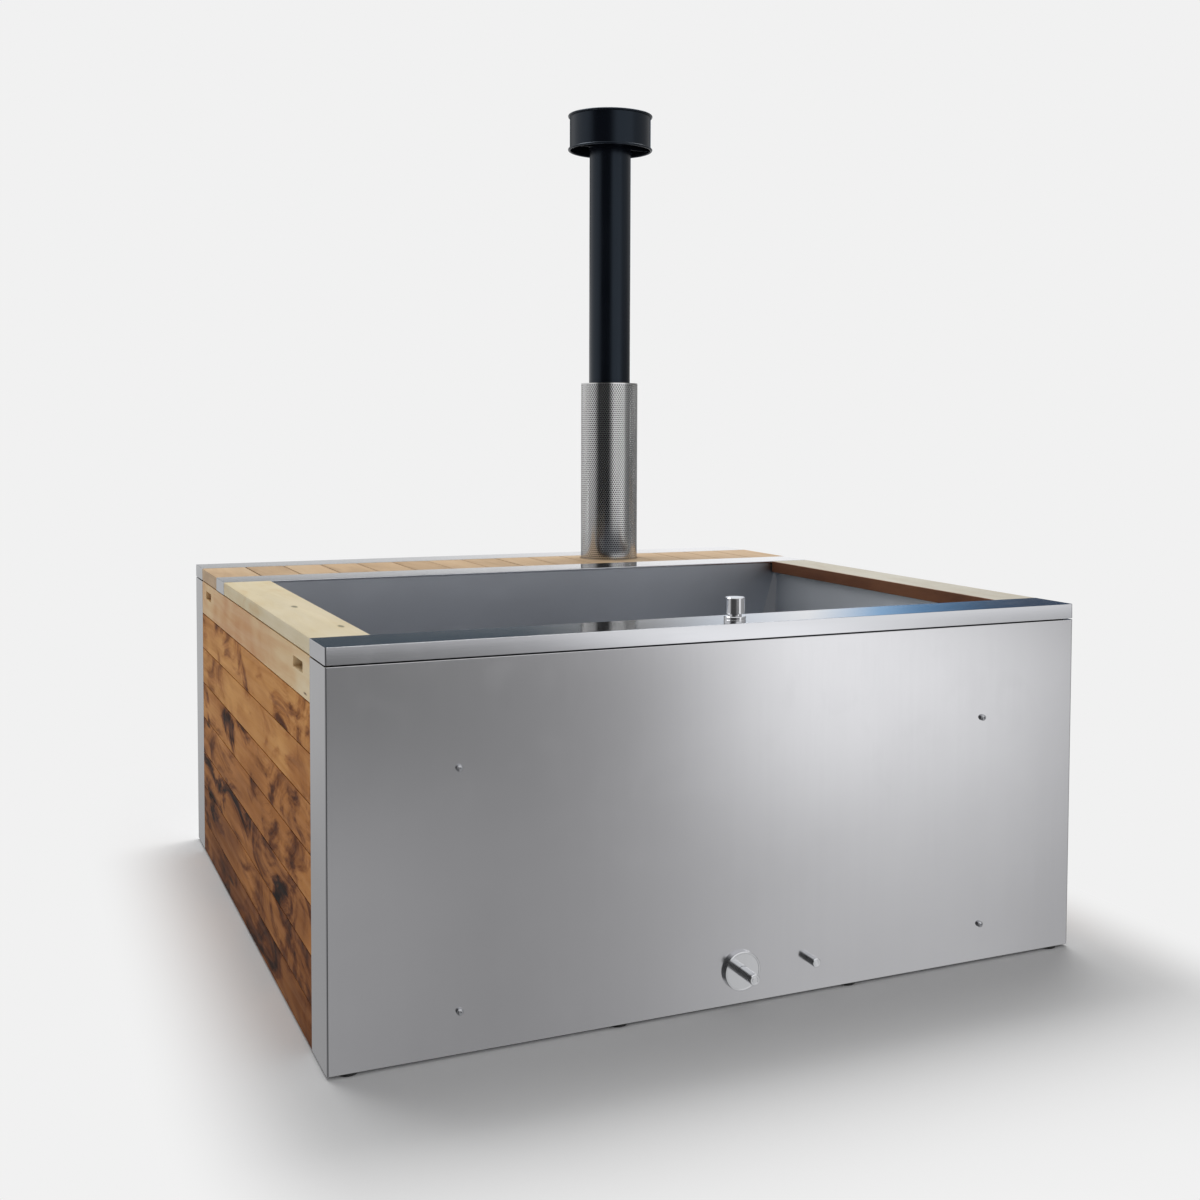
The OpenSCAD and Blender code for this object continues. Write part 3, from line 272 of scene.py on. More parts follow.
finish = {
    "stainless": steel("stainless", (208, 208, 211), 0.14, 2, streaks=0.006),
    "basin_steel": steel("basin_steel", (172, 175, 181), 0.32, 0, streaks=0.0, bump=0.0, smear=0.8),
    "polished_steel": steel("polished_steel", (226, 227, 230), 0.1, 2, painted_reflection_clouds=0.02, bump=0.01),
    "screw_steel": steel("screw_steel", (190, 191, 195), 0.2, 2),
    "guard_steel": steel("guard_steel", (214, 214, 214), 0.14, 2),
    "frame_steel": coat("frame_steel", (66, 68, 72), 0.5, depth=0.12),
    "stove_steel": coat("stove_steel", (34, 34, 36), 0.62, depth=0.2, wear=(70, 62, 56)),
    "grate_iron": coat("grate_iron", (40, 37, 36), 0.75, speckle=160, depth=0.4, wear=(86, 58, 42)),
    "flue_black": coat("flue_black", (7, 9, 16), 0.24, depth=0.03, wear=(10, 12, 20), shine=0.45, cool=0.78),
    "valve_brass": coat("valve_brass", (205, 170, 105), 0.3, metallic=1.0, wear=(150, 116, 66)),
    "black_plastic": coat("black_plastic", (24, 24, 25), 0.5, depth=0.12),
    "armrest_wood": wood("armrest_wood", 1, HONEY, 0.4, (112, 108, 84), knots=(5.0, 1.6, 0.04), patchy=1.0),
    "top_plank_wood": wood("top_plank_wood", 1, GOLD, 0.4, (84, 56, 40), knots=(3.0, 0.5, 0.02), shine=0.1, patchy=1.1),
    "plank_wood": wood("plank_wood", 1, UMBER, 0.62, (46, 28, 20), knots=(3.0, 0.5, 0.03), aged=0.15, rough=0.6, shine=0.06),
    "deck_wood": wood("deck_wood", 1, TAN, 0.3, (96, 70, 50), knots=(3.0, 0.8, 0.015)),
    "batten_wood": wood("batten_wood", 2, RAW, 0.2, (90, 62, 42)),
    "seal_rope": rope("seal_rope"),
}
rim_finish = steel("rim_steel", (206, 207, 211), 0.09, 0)
pale_armrest = wood("pale_armrest_wood", 1, PALE, 0.3, (104, 96, 80), knots=(5.0, 1.6, 0.04))
# a much lighter copy of the basin steel for the basin's end walls: painted light
painted_light_basin_steel = steel("basin_painted_light_steel", (240, 244, 249), 0.75, 0, streaks=0.0, bump=0.0, smear=0.9)
# a darker copy of the armrest wood for the armrests' inner faces: painted shade
armrest_painted_shade = wood("armrest_painted_shade_wood", 1, SHADED, 0.3, (50, 30, 22))
for name, node in nodes.items():
    node.material_slots[0].material = finish[slot_of[name]]

# ---------------------------------------------------------------- tools of the workshop


def alone(piece):
    """Selects one object and nothing else."""
    bpy.ops.object.select_all(action="DESELECT")
    piece.select_set(True)
    bpy.context.view_layer.objects.active = piece


def named(name):
    """Names the piece at hand, and its mesh."""
    piece = bpy.context.object
    piece.name = name
    piece.data.name = name
    return piece


def block(name, low, high):
    """A block between two corners, with its place in its mesh."""
    low, high = Vector(low), Vector(high)
    bpy.ops.object.select_all(action="DESELECT")
    bpy.ops.mesh.primitive_cube_add(size=1, location=(low + high) / 2, scale=high - low)
    bpy.ops.object.transform_apply(location=True, rotation=True, scale=True)
    return named(name)


def pick(piece, kind, test):
    """Enters edit mode with only the faces, edges or corners selected that pass the test."""
    alone(piece)
    bpy.ops.object.mode_set(mode="EDIT")
    bpy.ops.mesh.select_mode(type=kind)
    bpy.ops.mesh.select_all(action="DESELECT")
    grid = bmesh.from_edit_mesh(piece.data)
    for item in {"FACE": grid.faces, "EDGE": grid.edges, "VERT": grid.verts}[kind]:
        if test(item):
            item.select_set(True)
    bmesh.update_edit_mesh(piece.data)


def enter(piece):
    """Enters edit mode with all of the piece selected."""
    alone(piece)
    bpy.ops.object.mode_set(mode="EDIT")
    bpy.ops.mesh.select_all(action="SELECT")


def leave():
    bpy.ops.object.mode_set(mode="OBJECT")


def put(piece, place, facing=(0, 0, 0)):
    """Moves and turns a piece, and writes its place into its mesh."""
    piece.location = place
    piece.rotation_euler = facing
    alone(piece)
    bpy.ops.object.transform_apply(location=True, rotation=True, scale=True)
    return piece


def twin(piece):
    """A copy with a mesh of its own."""
    made = piece.copy()
    made.data = piece.data.copy()
    bpy.context.scene.collection.objects.link(made)
    return made


def on(item, axis, value, slack=2e-4):
    """True where every corner of an edge or face has that size on the axis, on either side of zero."""
    return all(abs(abs(v.co[axis]) - value) < slack for v in item.verts)


def upright(edge):
    """True where an edge runs up and down."""
    return abs(edge.verts[0].co.z - edge.verts[1].co.z) > 0.01


def drop(piece, test):
    """Takes faces away."""
    pick(piece, "FACE", test)
    bpy.ops.mesh.delete(type="FACE")
    leave()


def pull(piece, test, move):
    """Extrudes edges by a move, as a fold of the sheet."""
    pick(piece, "EDGE", test)
    bpy.ops.mesh.extrude_edges_move(TRANSFORM_OT_translate={"value": move})
    leave()


def fold(piece, test, width, segments=3):
    """Rounds chosen edges."""
    pick(piece, "EDGE", test)
    bpy.ops.mesh.bevel(offset=width, segments=segments, affect="EDGES")
    leave()


def apply(piece, kind, **settings):
    """Adds a modifier, sets it and applies it."""
    alone(piece)
    modifier = piece.modifiers.new(kind.lower(), kind)
    for key, value in settings.items():
        setattr(modifier, key, value)
    bpy.ops.object.modifier_apply(modifier=modifier.name)


def smooth(piece, angle=35):
    """Smooth faces with sharp edges past an angle, weighted by area so that flats stay flat."""
    alone(piece)
    bpy.ops.object.shade_smooth_by_angle(angle=math.radians(angle))
    apply(piece, "WEIGHTED_NORMAL", keep_sharp=True)


def ease(piece, width, segments=2, limit=30):
    """Rounds every sharp edge a little."""
    apply(piece, "BEVEL", width=width, segments=segments, limit_method="ANGLE", angle_limit=math.radians(limit))
    smooth(piece)


def thicken(piece, thickness, offset=-1.0, edge=0.0003):
    """Gives a sheet its thickness and breaks its cut edges."""
    apply(piece, "SOLIDIFY", thickness=thickness, offset=offset, use_even_offset=True)
    ease(piece, edge, 1, limit=50)


def cut(piece, *cutters):
    """Cuts other pieces out of this one."""
    for cutter in cutters:
        apply(piece, "BOOLEAN", object=cutter, operation="DIFFERENCE", solver="EXACT")
        bpy.data.objects.remove(cutter)


def join(name, pieces):
    """Makes one object of several."""
    bpy.ops.object.select_all(action="DESELECT")
    for piece in pieces:
        piece.select_set(True)
    bpy.context.view_layer.objects.active = pieces[0]
    bpy.ops.object.join()
    return named(name)


def turned(name, place, profile, sides=64, facing=(0, 0, 0), ring=False):
    """A piece from the lathe: (radius, height) rings up its axis, with closed ends, or a ring that meets itself."""
    bpy.ops.object.select_all(action="DESELECT")
    bpy.ops.mesh.primitive_circle_add(vertices=sides, radius=profile[0][0], location=(0, 0, profile[0][1]))
    bpy.ops.object.transform_apply(location=True)
    piece = named(name)
    bpy.ops.object.mode_set(mode="EDIT")
    bpy.ops.mesh.select_mode(type="EDGE")
    bpy.ops.mesh.select_all(action="SELECT")
    for (radius, height), (wide, high) in zip(profile, profile[1:] + (profile[:1] if ring else [])):
        bpy.ops.mesh.extrude_edges_move(TRANSFORM_OT_translate={"value": (0, 0, high - height)})
        bpy.ops.transform.resize(value=(wide / radius, wide / radius, 1), center_override=(0, 0, high))
    bpy.ops.mesh.select_all(action="SELECT")
    bpy.ops.mesh.remove_doubles(threshold=0.000005)
    if not ring:
        bpy.ops.mesh.fill_holes(sides=0)
    bpy.ops.mesh.select_all(action="SELECT")
    bpy.ops.mesh.normals_make_consistent(inside=False)
    leave()
    return put(piece, place, facing)


FRONTWARD, REARWARD = (math.radians(90), 0, 0), (math.radians(-90), 0, 0)


def arc(centre, radius, start, end, steps):
    """Points of a round bead for a lathe profile, by angle in degrees."""
    return [(centre[0] + radius * math.cos(math.radians(start + (end - start) * n / steps)),
             centre[1] + radius * math.sin(math.radians(start + (end - start) * n / steps))) for n in range(steps + 1)]


def solids(name):
    """Lowest and highest corner of each solid in a CAD node, in order."""
    grid = bmesh.new()
    grid.from_mesh(nodes[name].data)
    bmesh.ops.remove_doubles(grid, verts=grid.verts, dist=1e-5)
    left, found = set(grid.verts), []
    while left:
        queue, corners = [left.pop()], []
        while queue:
            vertex = queue.pop()
            corners.append(vertex.co.copy())
            for edge in vertex.link_edges:
                other = edge.other_vert(vertex)
                if other in left:
                    left.remove(other)
                    queue.append(other)
        found.append([Vector(pickers(c[axis] for c in corners) for axis in range(3)) for pickers in (min, max)])
    grid.free()
    return sorted(found, key=lambda pair: tuple(round(c, 4) for c in pair[0]))


def refinish(piece, look, test):
    """Gives the faces that pass the test another finish."""
    piece.data.materials.append(look)
    for face in piece.data.polygons:
        if test(face):
            face.material_index = 1


def seat(piece, *stands_for, look=None):
    """Gives a finished piece a finish (by default that of its CAD nodes), their body, and hides the CAD nodes that it
    stands for.
    """
    first = stands_for[0]
    piece.data.materials.clear()
    piece.data.materials.append(look or finish[slot_of[first]])
    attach(piece, body_of[first])
    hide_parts(*stands_for)
    return piece


def eased_copy(name, width=0.001, segments=2):
    """A copy of a CAD node with its triangles merged and its edges broken."""
    piece = twin(nodes[name])
    piece.parent = None
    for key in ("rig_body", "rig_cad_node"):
        del piece[key]
    piece.name = name + "_eased"
    enter(piece)
    bpy.ops.mesh.remove_doubles(threshold=0.00001)
    bpy.ops.mesh.dissolve_limited(angle_limit=math.radians(1))
    leave()
    ease(piece, width, segments)
    return seat(piece, name)


def mark(piece, seed, tone, stained):
    """Writes a board's seed, tone and stain on its corners."""
    layer = piece.data.attributes.new("board", "FLOAT_VECTOR", "POINT")
    layer.data.foreach_set("vector", [seed, tone, stained] * len(piece.data.vertices))


def whole_boards(found):
    """One box for each board, also where a hole parts a board into two solids."""
    merged = []
    for low, high in found:
        if merged and merged[-1][0].x == low.x and merged[-1][0].z == low.z:
            merged[-1][1].y = high.y
        else:
            merged.append([low, high])
    return merged


def boards(name, source, looks, width=0.0015, cutters=()):
    """Boards at the places of a CAD node's solids, each with (seed, tone, stain), cut and with eased edges."""
    pieces = []
    for number, (low, high) in enumerate(whole_boards(solids(source))):
        pieces.append(block("%s_%d" % (name, number), low, high))
        mark(pieces[-1], *looks(number))
    piece = join(name, pieces) if len(pieces) > 1 else pieces[0]
    piece.name = name
    cut(piece, *cutters)
    ease(piece, width, 3)
    return seat(piece, source)


# ---------------------------------------------------------------- casing of folded sheet

HALF, TOP, SHEET, CORNER = 0.86, 0.8, 0.002, 0.004
RIM_INSIDE, RIM_FOOT, HEM = 0.728, 0.767, 0.005
PANEL_FOOT, PANEL_TOP = 0.006, 0.764
BAR_FRONT, BAR_REAR = 0.335, 0.467
LEDGE_FOOT = RIM_FOOT - SHEET
FLUE = (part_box("flue_pipe")[0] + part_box("flue_pipe")[1]) / 2
FLUE.z = 0.0


def casing_panel(name, source, front):
    """A panel with round corner folds, side returns, and returns at its top and foot."""
    near, far = (-HALF, -RIM_INSIDE) if front else (RIM_INSIDE, HALF)
    piece = block(name, (-HALF, near, PANEL_FOOT), (HALF, far, PANEL_TOP))
    drop(piece, lambda f: abs(f.normal.z) > 0.5 or on(f, 1, RIM_INSIDE))
    fold(piece, lambda e: upright(e) and on(e, 0, HALF) and on(e, 1, HALF), CORNER, 5)
    if front:
        pull(piece, lambda e: on(e, 1, HALF) and on(e, 2, PANEL_TOP), (0, 0.017, 0))
    pull(piece, lambda e: on(e, 1, HALF) and on(e, 2, PANEL_FOOT), (0, 0.010 if front else -0.010, 0))
    fold(piece, lambda e: on(e, 1, HALF) and (on(e, 2, PANEL_FOOT) or (front and on(e, 2, PANEL_TOP))), 0.0015, 2)
    apply(piece, "SOLIDIFY", thickness=SHEET, offset=-1.0, use_even_offset=True)
    if not front:
        cut(piece, block("stove_opening", (FLUE.x - 0.195, 0.8, 0.110), (FLUE.x + 0.195, 0.9, 0.490)))
    ease(piece, 0.0003, 1, limit=50)
    return seat(piece, source)


def cap_sheet(name, low, high, open_side=None):
    """A folded cap over the casing's edge: open below, its ends closed, and a hem where a side is open."""
    piece = block(name, low, high)
    drop(piece, lambda f: f.normal.z < -0.5 or (open_side is not None and on(f, 1, open_side)))
    if open_side is not None:
        pull(piece, lambda e: on(e, 1, open_side) and on(e, 2, TOP), (0, 0, -HEM))
    outer = max(abs(low[1]), abs(high[1]))
    fold(piece, lambda e: upright(e) and on(e, 0, HALF) and on(e, 1, outer), CORNER, 5)
    fold(piece, lambda e: on(e, 2, TOP) and len(e.link_faces) == 2
         and min(f.normal.z for f in e.link_faces) < 0.5 < max(f.normal.z for f in e.link_faces), 0.001, 2)
    return piece


casing_panel("front_panel_sheet", "front_panel", True)
casing_panel("rear_panel_sheet", "rear_panel", False)

front_cap = cap_sheet("front_rim_cap", (-HALF, -HALF, RIM_FOOT), (HALF, -RIM_INSIDE, TOP), open_side=RIM_INSIDE)
# its front leans back by a hair
pick(front_cap, "VERT", lambda v: v.co.z > 0.79 and v.co.y < -0.855)
bpy.ops.transform.translate(value=(0, 0.0007, 0))
leave()
thicken(front_cap, SHEET)
seat(front_cap, "front_rim", look=rim_finish)

bar_cap = cap_sheet("middle_bar_cap", (-HALF, BAR_FRONT, RIM_FOOT), (HALF, BAR_REAR, TOP), open_side=BAR_FRONT)
thicken(bar_cap, SHEET)
bar_ledge = block("bar_ledge", (-0.838, BAR_REAR - 0.0015, LEDGE_FOOT), (0.838, BAR_REAR + 0.018, RIM_FOOT))
ease(bar_ledge, 0.0004, 1)
seat(join("middle_bar_cap", [bar_cap, bar_ledge]), "middle_bar", look=rim_finish)

rear_cap = cap_sheet("rear_rim_cap", (-HALF, RIM_INSIDE, RIM_FOOT), (HALF, HALF, TOP))
thicken(rear_cap, SHEET)
rear_ledge = block("rear_ledge", (SHEET - HALF, RIM_INSIDE - 0.010, LEDGE_FOOT), (HALF - SHEET, RIM_INSIDE + 0.0015, RIM_FOOT))
ease(rear_ledge, 0.0004, 1)
seat(join("rear_rim_cap", [rear_cap, rear_ledge]), "rear_rim", look=rim_finish)

# ---------------------------------------------------------------- basin

WALL, FLOOR, FRONT_WALL, REAR_WALL = 0.757, 0.112, 0.731, 0.338
lean = (RIM_FOOT - FLOOR) * math.tan(math.radians(6.5))
facet_top, facet_foot = 0.006, 0.006 + 0.18 * (RIM_FOOT - FLOOR)

basin = block("basin_shell", (-WALL, -FRONT_WALL, FLOOR), (WALL, REAR_WALL, RIM_FOOT))
drop(basin, lambda f: f.normal.z > 0.5)
fold(basin, lambda e: upright(e) and on(e, 0, WALL), facet_top, 1)
for side in (-1, 1):
    for end, inward in ((-FRONT_WALL, 1), (REAR_WALL, -1)):
        for corner, move in (
            ((side * WALL, end + inward * facet_top), (-side * lean, inward * (facet_foot - facet_top), 0)),
            ((side * (WALL - facet_top), end), (-side * (lean + facet_foot - facet_top), 0, 0)),
        ):
            pick(basin, "VERT", lambda v: (v.co - Vector((*corner, FLOOR))).length < 1e-3)
            bpy.ops.transform.translate(value=move)
            leave()
for side in (-1, 1):
    pull(basin, lambda e: on(e, 2, RIM_FOOT) and all(abs(v.co.x - side * WALL) < 1e-4 for v in e.verts),
         (side * 0.061, 0, 0))
for end in (FRONT_WALL, REAR_WALL):
    pull(basin, lambda e: on(e, 2, RIM_FOOT) and on(e, 1, end), (0, 0, 0.031))
fold(basin, lambda e: len(e.link_faces) == 2 and e.calc_face_angle(0) > math.radians(60) and not on(e, 2, RIM_FOOT),
     0.007, 4)
apply(basin, "SOLIDIFY", thickness=SHEET, offset=1.0, use_even_offset=True)
holes = [turned("hole", (0, -0.48, 0.09), [(0.034, 0), (0.034, 0.05)], 48)]
for x, z in ((FLUE.x + 0.1, 0.560), (FLUE.x - 0.1, 0.170)):
    holes.append(turned("hole", (x, 0.36, z), [(0.0212, 0), (0.0212, 0.05)], 48, FRONTWARD))
cut(basin, *holes)
ease(basin, 0.0003, 1, limit=50)
seat(basin, "tub_basin")
# the end walls, facing along X, take the lighter steel: painted light
refinish(basin, painted_light_basin_steel, lambda f: abs(f.normal.x) > 0.9)

# ---------------------------------------------------------------- woodwork

SLOT_PLACE, SLOT_LONG, SLOT_FOOT, SLOT_TOP = 0.612, 0.096, 0.722, 0.744
for side, sign in (("left", -1), ("right", 1)):
    rest = boards(side + "_armrest_board", side + "_armrest", lambda n: (2.0 + sign * 0.9, -0.03, 0.5), 0.0025)
    if sign > 0:
        rest.data.materials[0] = pale_armrest
    # the inner face of each armrest takes the darker wood: painted shade
    refinish(rest, armrest_painted_shade, lambda f: abs(f.center.x) < 0.7435)
    slots = []
    for y in (-SLOT_PLACE, SLOT_PLACE):
        slot = block("slot", (sign * 0.85 - 0.03, y - SLOT_LONG / 2, SLOT_FOOT),
                     (sign * 0.85 + 0.03, y + SLOT_LONG / 2, SLOT_TOP))
        fold(slot, lambda e: abs(e.verts[0].co.x - e.verts[1].co.x) > 0.01, 0.003, 4)
        slots.append(slot)
    boards(side + "_top_board", side + "_top_plank", lambda n: (5.0 + sign, 0.0, 0.9), 0.0015, slots)
    # the boards' tones darken towards the foot, partly their own colour and partly painted shade
    boards(side + "_lower_boards", side + "_planks",
           lambda n: (9.0 + sign + n * 1.618, 0.30 - n * 0.05, (0.6, 0.7, 1.0, 0.7, 0.9, 0.5, 0.8)[n]), 0.0014)
    boards(side + "_panel_battens", side + "_battens", lambda n: (3.0 + sign + n, 0.05, 0.3), 0.0015)

DECK_TONES = (0.0, 0.09, -0.03, 0.11, 0.03, 0.13, -0.02, 0.06, 0.02)
boards("hatch_boards", "hatch_slats", lambda n: (20.0 + n * 1.37, DECK_TONES[n], 0.5), 0.0016)
boards("deck_boards", "deck_slats", lambda n: (33.0 + n * 1.29, DECK_TONES[8 - n], 0.5), 0.0016,
       [turned("hole", (FLUE[0], FLUE[1], 0.74), [(0.089, 0), (0.089, 0.1)], 96)])
boards("hatch_frame", "hatch_battens", lambda n: (41.0 + n, 0.05, 0.3), 0.0015)
boards("deck_frame", "deck_battens", lambda n: (45.0 + n, 0.05, 0.3), 0.0015)

# ---------------------------------------------------------------- screws, knobs

screw = turned("screw", (0, 0, 0), [(0.0040, -0.024), (0.0040, 0.0), (0.00675, 0.0), (0.00675, 0.0045),
                                    (0.0061, 0.0062), (0.0048, 0.0074), (0.0030, 0.008)], 28)
cut(screw, turned("hex_socket", (0, 0, 0), [(0.0023, 0.005), (0.0023, 0.010)], 6))
heads = []
for low, high in solids("panel_screws"):
    x, z = (low.x + high.x) / 2, (low.z + high.z) / 2
    front = low.y < 0
    heads.append(put(twin(screw), (x, -HALF if front else HALF, z), FRONTWARD if front else REARWARD))
bpy.data.objects.remove(screw)
screws = join("panel_screw_heads", heads)
ease(screws, 0.0003, 1)
seat(screws, "panel_screws")

VALVE_HEIGHT, RIM_KNOB_Y = 0.076, -0.822

rosette = turned("drain_rosette_disc", (0, -HALF, VALVE_HEIGHT), [
    (0.0120, 0.0), (0.0410, 0.0), (0.0410, 0.0088), (0.0398, 0.0100), (0.0376, 0.0100), (0.0370, 0.0095), (0.0120, 0.0095)],
    96, FRONTWARD, ring=True)
smooth(rosette, 25)
seat(rosette, "drain_rosette")


def pin(name, source, x, back, shoulder, end, radius, stem):
    """A turned knob on its stem, with a chamfered end and a fine ring on its face."""
    length, start = back - end, back - shoulder
    piece = turned(name, (x, back, VALVE_HEIGHT), [
        (stem, 0.0), (stem, start), (radius, start), (radius, length - 0.0014), (radius - 0.0013, length),
        (radius * 0.62, length), (radius * 0.58, length - 0.0005), (radius * 0.52, length - 0.0005), (radius * 0.48, length)],
        48, FRONTWARD)
    smooth(piece, 25)
    return seat(piece, source)


pin("drain_knob_pin", "drain_knob", 0.0, -0.787, -0.8703, -0.922, 0.0115, 0.006)
pin("jacket_drain_knob_pin", "jacket_drain_knob", 0.165, -0.777, -0.8603, -0.8903, 0.0095, 0.004)

base_ring = turned("rim_knob_ring", (0, RIM_KNOB_Y, TOP), [
    (0.0130, 0.0), (0.0230, 0.0), (0.0230, 0.0035), (0.0224, 0.0041), (0.0224, 0.0049), (0.0230, 0.0055), (0.0230, 0.0098),
    (0.0219, 0.0110), (0.0130, 0.0110)], 72, ring=True)
smooth(base_ring, 25)
seat(base_ring, "rim_knob_base")

rim_head = turned("rim_knob_head", (0, RIM_KNOB_Y, 0.0), [
    (0.0060, 0.7283), (0.0060, 0.8113), (0.0145, 0.8113), (0.0145, 0.8161), (0.0201, 0.8161), (0.0209, 0.8169),
    (0.0209, 0.8486), (0.0196, 0.8500)], 72)
smooth(rim_head, 25)
seat(rim_head, "rim_knob")

# ---------------------------------------------------------------- chimney

pipe = turned("flue_tube", FLUE, [
    (0.0605, 0.6803), (0.0625, 0.6803), (0.0625, 2.0715), (0.0620, 2.072), (0.0605, 2.072)], 96, ring=True)
smooth(pipe, 25)
seat(pipe, "flue_pipe")

CAP_LOW, CAP_HIGH = 2.037, 2.144
drum = turned("flue_cap_drum", FLUE, [(0.03, 2.1362), (0.1210, 2.1362), (0.1210, CAP_LOW + 0.008)]
              + arc((0.1245, CAP_LOW + 0.0035), 0.0035, 160, 480, 18)
              + arc((0.1245, CAP_HIGH - 0.0035), 0.0035, -120, 160, 18)
              + [(0.1200, 2.1386), (0.03, 2.1386)], 128)
smooth(drum, 30)
seat(drum, "flue_cap")

# ---------------------------------------------------------------- heat guard

GUARD_LOW, GUARD_HIGH, GUARD_RADIUS, HOLE = 0.7423, 1.334, 0.085, 0.0026
CELLS, ROWS = 76, 96
cell_wide = 2 * math.pi * GUARD_RADIUS / CELLS
cell_high = cell_wide * math.sqrt(3) / 2
margin = (GUARD_HIGH - GUARD_LOW - ROWS * cell_high) / 2


def repeat(piece, count, move):
    """Repeats a piece along a move and welds each copy to the last."""
    apply(piece, "ARRAY", count=count, use_relative_offset=False, use_constant_offset=True,
          constant_offset_displace=move, use_merge_vertices=True, merge_threshold=1e-5)


def guard_part(name, first, rows):
    """Rows of the perforated sheet from the first one up: one cell with its hole, repeated to a strip and rolled up."""
    bpy.ops.object.select_all(action="DESELECT")
    bpy.ops.mesh.primitive_plane_add(size=1)
    bpy.context.object.scale = (cell_wide, cell_high, 1)
    bpy.ops.object.transform_apply(scale=True)
    sheet = named(name)
    enter(sheet)
    bpy.ops.mesh.subdivide(number_cuts=1)
    leave()
    pick(sheet, "VERT", lambda v: v.co.length < 1e-5)
    bpy.ops.mesh.delete(type="VERT")
    bpy.ops.mesh.primitive_circle_add(vertices=8, radius=HOLE, location=(0, 0, 0))
    bpy.ops.mesh.select_mode(type="EDGE")
    bpy.ops.mesh.select_all(action="SELECT")
    bpy.ops.mesh.bridge_edge_loops()
    leave()
    repeat(sheet, CELLS, (cell_wide, 0, 0))
    repeat(sheet, 2, (cell_wide / 2, cell_high, 0))
    repeat(sheet, rows // 2, (0, 2 * cell_high, 0))
    # the guard's foot and its top have a plain edge
    end, plain = (-cell_high / 2, -margin) if first == 0 else ((rows - 0.5) * cell_high, margin)
    pull(sheet, lambda e: all(abs(v.co.y - end) < 1e-5 for v in e.verts), (0, plain, 0))
    enter(sheet)
    bpy.ops.mesh.normals_make_consistent(inside=False)
    leave()
    put(sheet, (0, 0, 0), FRONTWARD)
    apply(sheet, "SIMPLE_DEFORM", deform_method="BEND", deform_axis="Z", angle=2 * math.pi * (CELLS + 0.5) / CELLS)
    enter(sheet)
    bpy.ops.mesh.remove_doubles(threshold=0.0001)
    bpy.ops.mesh.normals_make_consistent(inside=False)
    leave()
    spots = [v.co for v in sheet.data.vertices]
    middle = [(min(c[axis] for c in spots) + max(c[axis] for c in spots)) / 2 for axis in range(2)]
    put(sheet, (FLUE.x - middle[0], FLUE.y - middle[1], GUARD_LOW + margin + (first + 0.5) * cell_high))
    apply(sheet, "SOLIDIFY", thickness=SHEET, offset=0.0)
    smooth(sheet, 40)
    seat(sheet, "heat_guard")


guard_part("heat_guard_part_1", 0, ROWS // 2)
guard_part("heat_guard_part_2", ROWS // 2, ROWS // 2)

# ---------------------------------------------------------------- stove and fittings, with broken edges

# the straps' outer feet stay inside the drum
straps = eased_copy("cap_brackets", 0.0004, 1)
pick(straps, "VERT", lambda v: math.hypot(v.co.x - FLUE.x, v.co.y - FLUE.y) > 0.110)
grid = bmesh.from_edit_mesh(straps.data)
for corner in [v for v in grid.verts if v.select]:
    out = Vector((corner.co.x - FLUE.x, corner.co.y - FLUE.y, 0.0))
    corner.co -= out.normalized() * 0.0052
bmesh.update_edit_mesh(straps.data)
leave()

for name in ("stove_door", "ash_drawer", "door_handle", "door_hinges", "air_slide", "stove_jacket",
             "waste_fitting", "circulation_grilles", "flue_plate"):
    eased_copy(name, 0.0008)

# ---------------------------------------------------------------- floor, world and light

PAPER = linear(241, 241, 241)

bpy.ops.object.select_all(action="DESELECT")
bpy.ops.mesh.primitive_circle_add(vertices=128, radius=40, fill_type="NGON")
floor = named("studio_floor")
ground, tree, shader = new_finish("studio_floor")
place = socket(tree, "TexCoord", output="Object")
axes = socket(tree, "SeparateXYZ", {0: place}).node.outputs
# the floor glows like the backdrop away from the tub, and takes its shadow close by
beyond = [sums(tree, "MAXIMUM", sums(tree, "SUBTRACT", sums(tree, "ABSOLUTE", axis), HALF), 0.0) for axis in axes[:2]]
reach = socket(tree, "VectorMath", {0: socket(tree, "CombineXYZ", {0: sums(tree, "MULTIPLY", beyond[0], 3.0), 1: beyond[1]})},
               output="Value", operation="LENGTH")
wire(tree, shader, Base_Color=PAPER, Roughness=0.9)
shader.inputs["Specular IOR Level"].default_value = 0.0
glow = socket(tree, "Emission", {"Color": PAPER, "Strength": 1.0})
rays = socket(tree, "LightPath").node.outputs
lit = socket(tree, "MixShader", {0: spread(tree, reach, 0.05, 0.95), 1: shader.outputs[0], 2: glow})
surface = socket(tree, "MixShader", {0: rays["Is Glossy Ray"], 1: lit, 2: socket(tree, "BsdfTransparent")})
tree.links.new(surface, tree.nodes["Material Output"].inputs["Surface"])
floor.data.materials.append(ground)


def around(tree, turn, stops):
    """Grey or coloured light by heading, in degrees from the front, positive to the left."""
    colours = [((heading + 180) / 360, (level if isinstance(level, tuple) else (level,) * 3) + (1.0,))
               for heading, level in stops]
    return ramp(tree, turn, colours)


world = bpy.data.worlds.new("studio")
bpy.context.scene.world = world
world.use_nodes = True
world.cycles.sampling_method = "NONE"
tree = world.node_tree
axes = socket(tree, "SeparateXYZ", {0: socket(tree, "TexCoord", output="Generated")}).node.outputs
heading = sums(tree, "ARCTAN2", sums(tree, "MULTIPLY", axes[0], -1.0), sums(tree, "MULTIPLY", axes[1], -1.0))
turn = sums(tree, "ADD", sums(tree, "DIVIDE", heading, 2 * math.pi), 0.5)
slanted = sums(tree, "SUBTRACT", turn, spread(tree, axes[2], -0.14, -0.10, 0.0, 5 / 360))
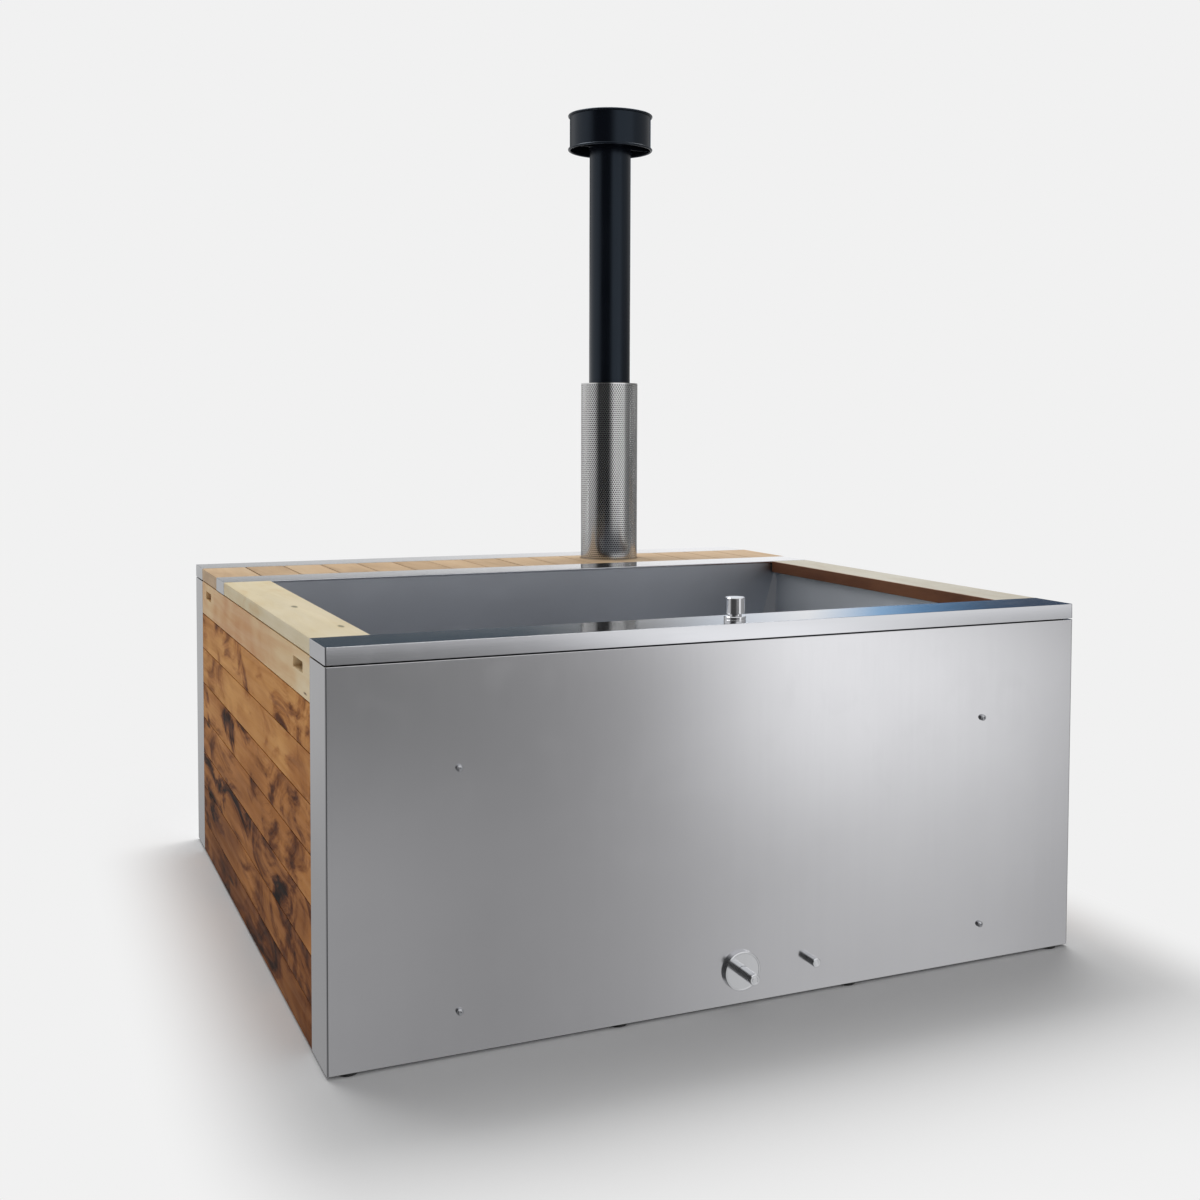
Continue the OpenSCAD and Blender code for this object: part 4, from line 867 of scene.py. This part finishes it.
# what the steel mirrors at eye level, lower down and higher up
level = around(tree, turn, [
    (-180, 0.6), (-172, 0.62), (-165, 0.75), (-155, 1.05), (-146, 1.0), (-135, 0.4), (-114, 0.22), (-81, 0.16), (-60, 0.3),
    (-47, 0.5), (-40, 1.1), (4, 1.1), (14, 0.5), (24, 0.06), (68, 0.06), (76, 0.35), (84, 0.65), (100, 0.8), (165, 0.8),
    (180, 0.6)])
front = around(tree, slanted, [
    (-180, 0.6), (-114, 0.4), (-81, 0.3), (-50, 0.35), (-43, 0.55), (-40, 0.88), (-36, 1.24), (-31, 1.32), (-28, 0.96),
    (-25, 0.42), (-20, 0.26), (-12, 0.19), (0, 0.19), (14, 0.06), (68, 0.06), (80, 0.45), (90, 0.5), (160, 0.5), (180, 0.5)])
deep = around(tree, turn, [
    (-180, 0.5), (-114, 0.3), (-81, 0.3), (-50, 0.35), (-42, 0.5), (-38, 0.66), (-32, 0.68), (-27, 0.54), (-23, 0.4),
    (-18, 0.34), (-12, 0.44), (0, 0.44), (14, 0.1), (68, 0.1), (80, 0.3), (90, 0.3), (160, 0.36), (180, 0.36)])
above = around(tree, turn, [
    (-180, (0.05, 0.07, 0.09)), (-160, (0.05, 0.07, 0.09)), (-155.5, 0.25), (-151.5, (0.68, 0.74, 0.82)), (-148.8, 0.92),
    (-146.6, (0.3, 0.5, 0.75)), (-144.5, (0.08, 0.20, 0.37)), (-141.5, (0.03, 0.055, 0.1)), (-135, (0.03, 0.055, 0.1)),
    (-125, 0.4), (-90, 0.4), (-50, 0.5), (-40, 0.8), (4, 0.8), (14, 0.4), (24, 0.06), (68, 0.06), (80, 0.5), (90, 0.7),
    (150, 0.7), (170, 0.3), (180, (0.05, 0.07, 0.09))])
lower = tint(tree, spread(tree, axes[2], -0.32, -0.15), deep, front)
lower = tint(tree, spread(tree, axes[2], -0.10, -0.06), lower, level)
edge = spread(tree, turn, (-149 + 180) / 360, (-146 + 180) / 360, 0.0, 0.026)
studio = tint(tree, spread(tree, sums(tree, "ADD", axes[2], edge), 0.106, 0.118), lower, above)
studio = tint(tree, spread(tree, axes[2], 0.5, 0.75), studio, (0.9, 0.9, 0.9, 1.0))
rays = socket(tree, "LightPath").node.outputs
FILL = 0.32
colour = tint(tree, rays["Is Glossy Ray"], (FILL, FILL, FILL, 1.0), studio)
colour = tint(tree, sums(tree, "MAXIMUM", rays["Is Camera Ray"], rays["Is Transmission Ray"]), colour, PAPER)
tree.links.new(colour, tree.nodes["Background"].inputs["Color"])

LAMP = (0.2, 2.0, 5.6)
bpy.ops.object.light_add(type="AREA", location=LAMP)
lamp = bpy.context.object
lamp.name = "soft_box"
lamp.data.shape = "RECTANGLE"
lamp.data.size, lamp.data.size_y = 7.0, 2.4
lamp.data.energy = 285
lamp.rotation_euler = (Vector(LAMP) - Vector((0, -0.2, 0.6))).to_track_quat("Z", "Y").to_euler()
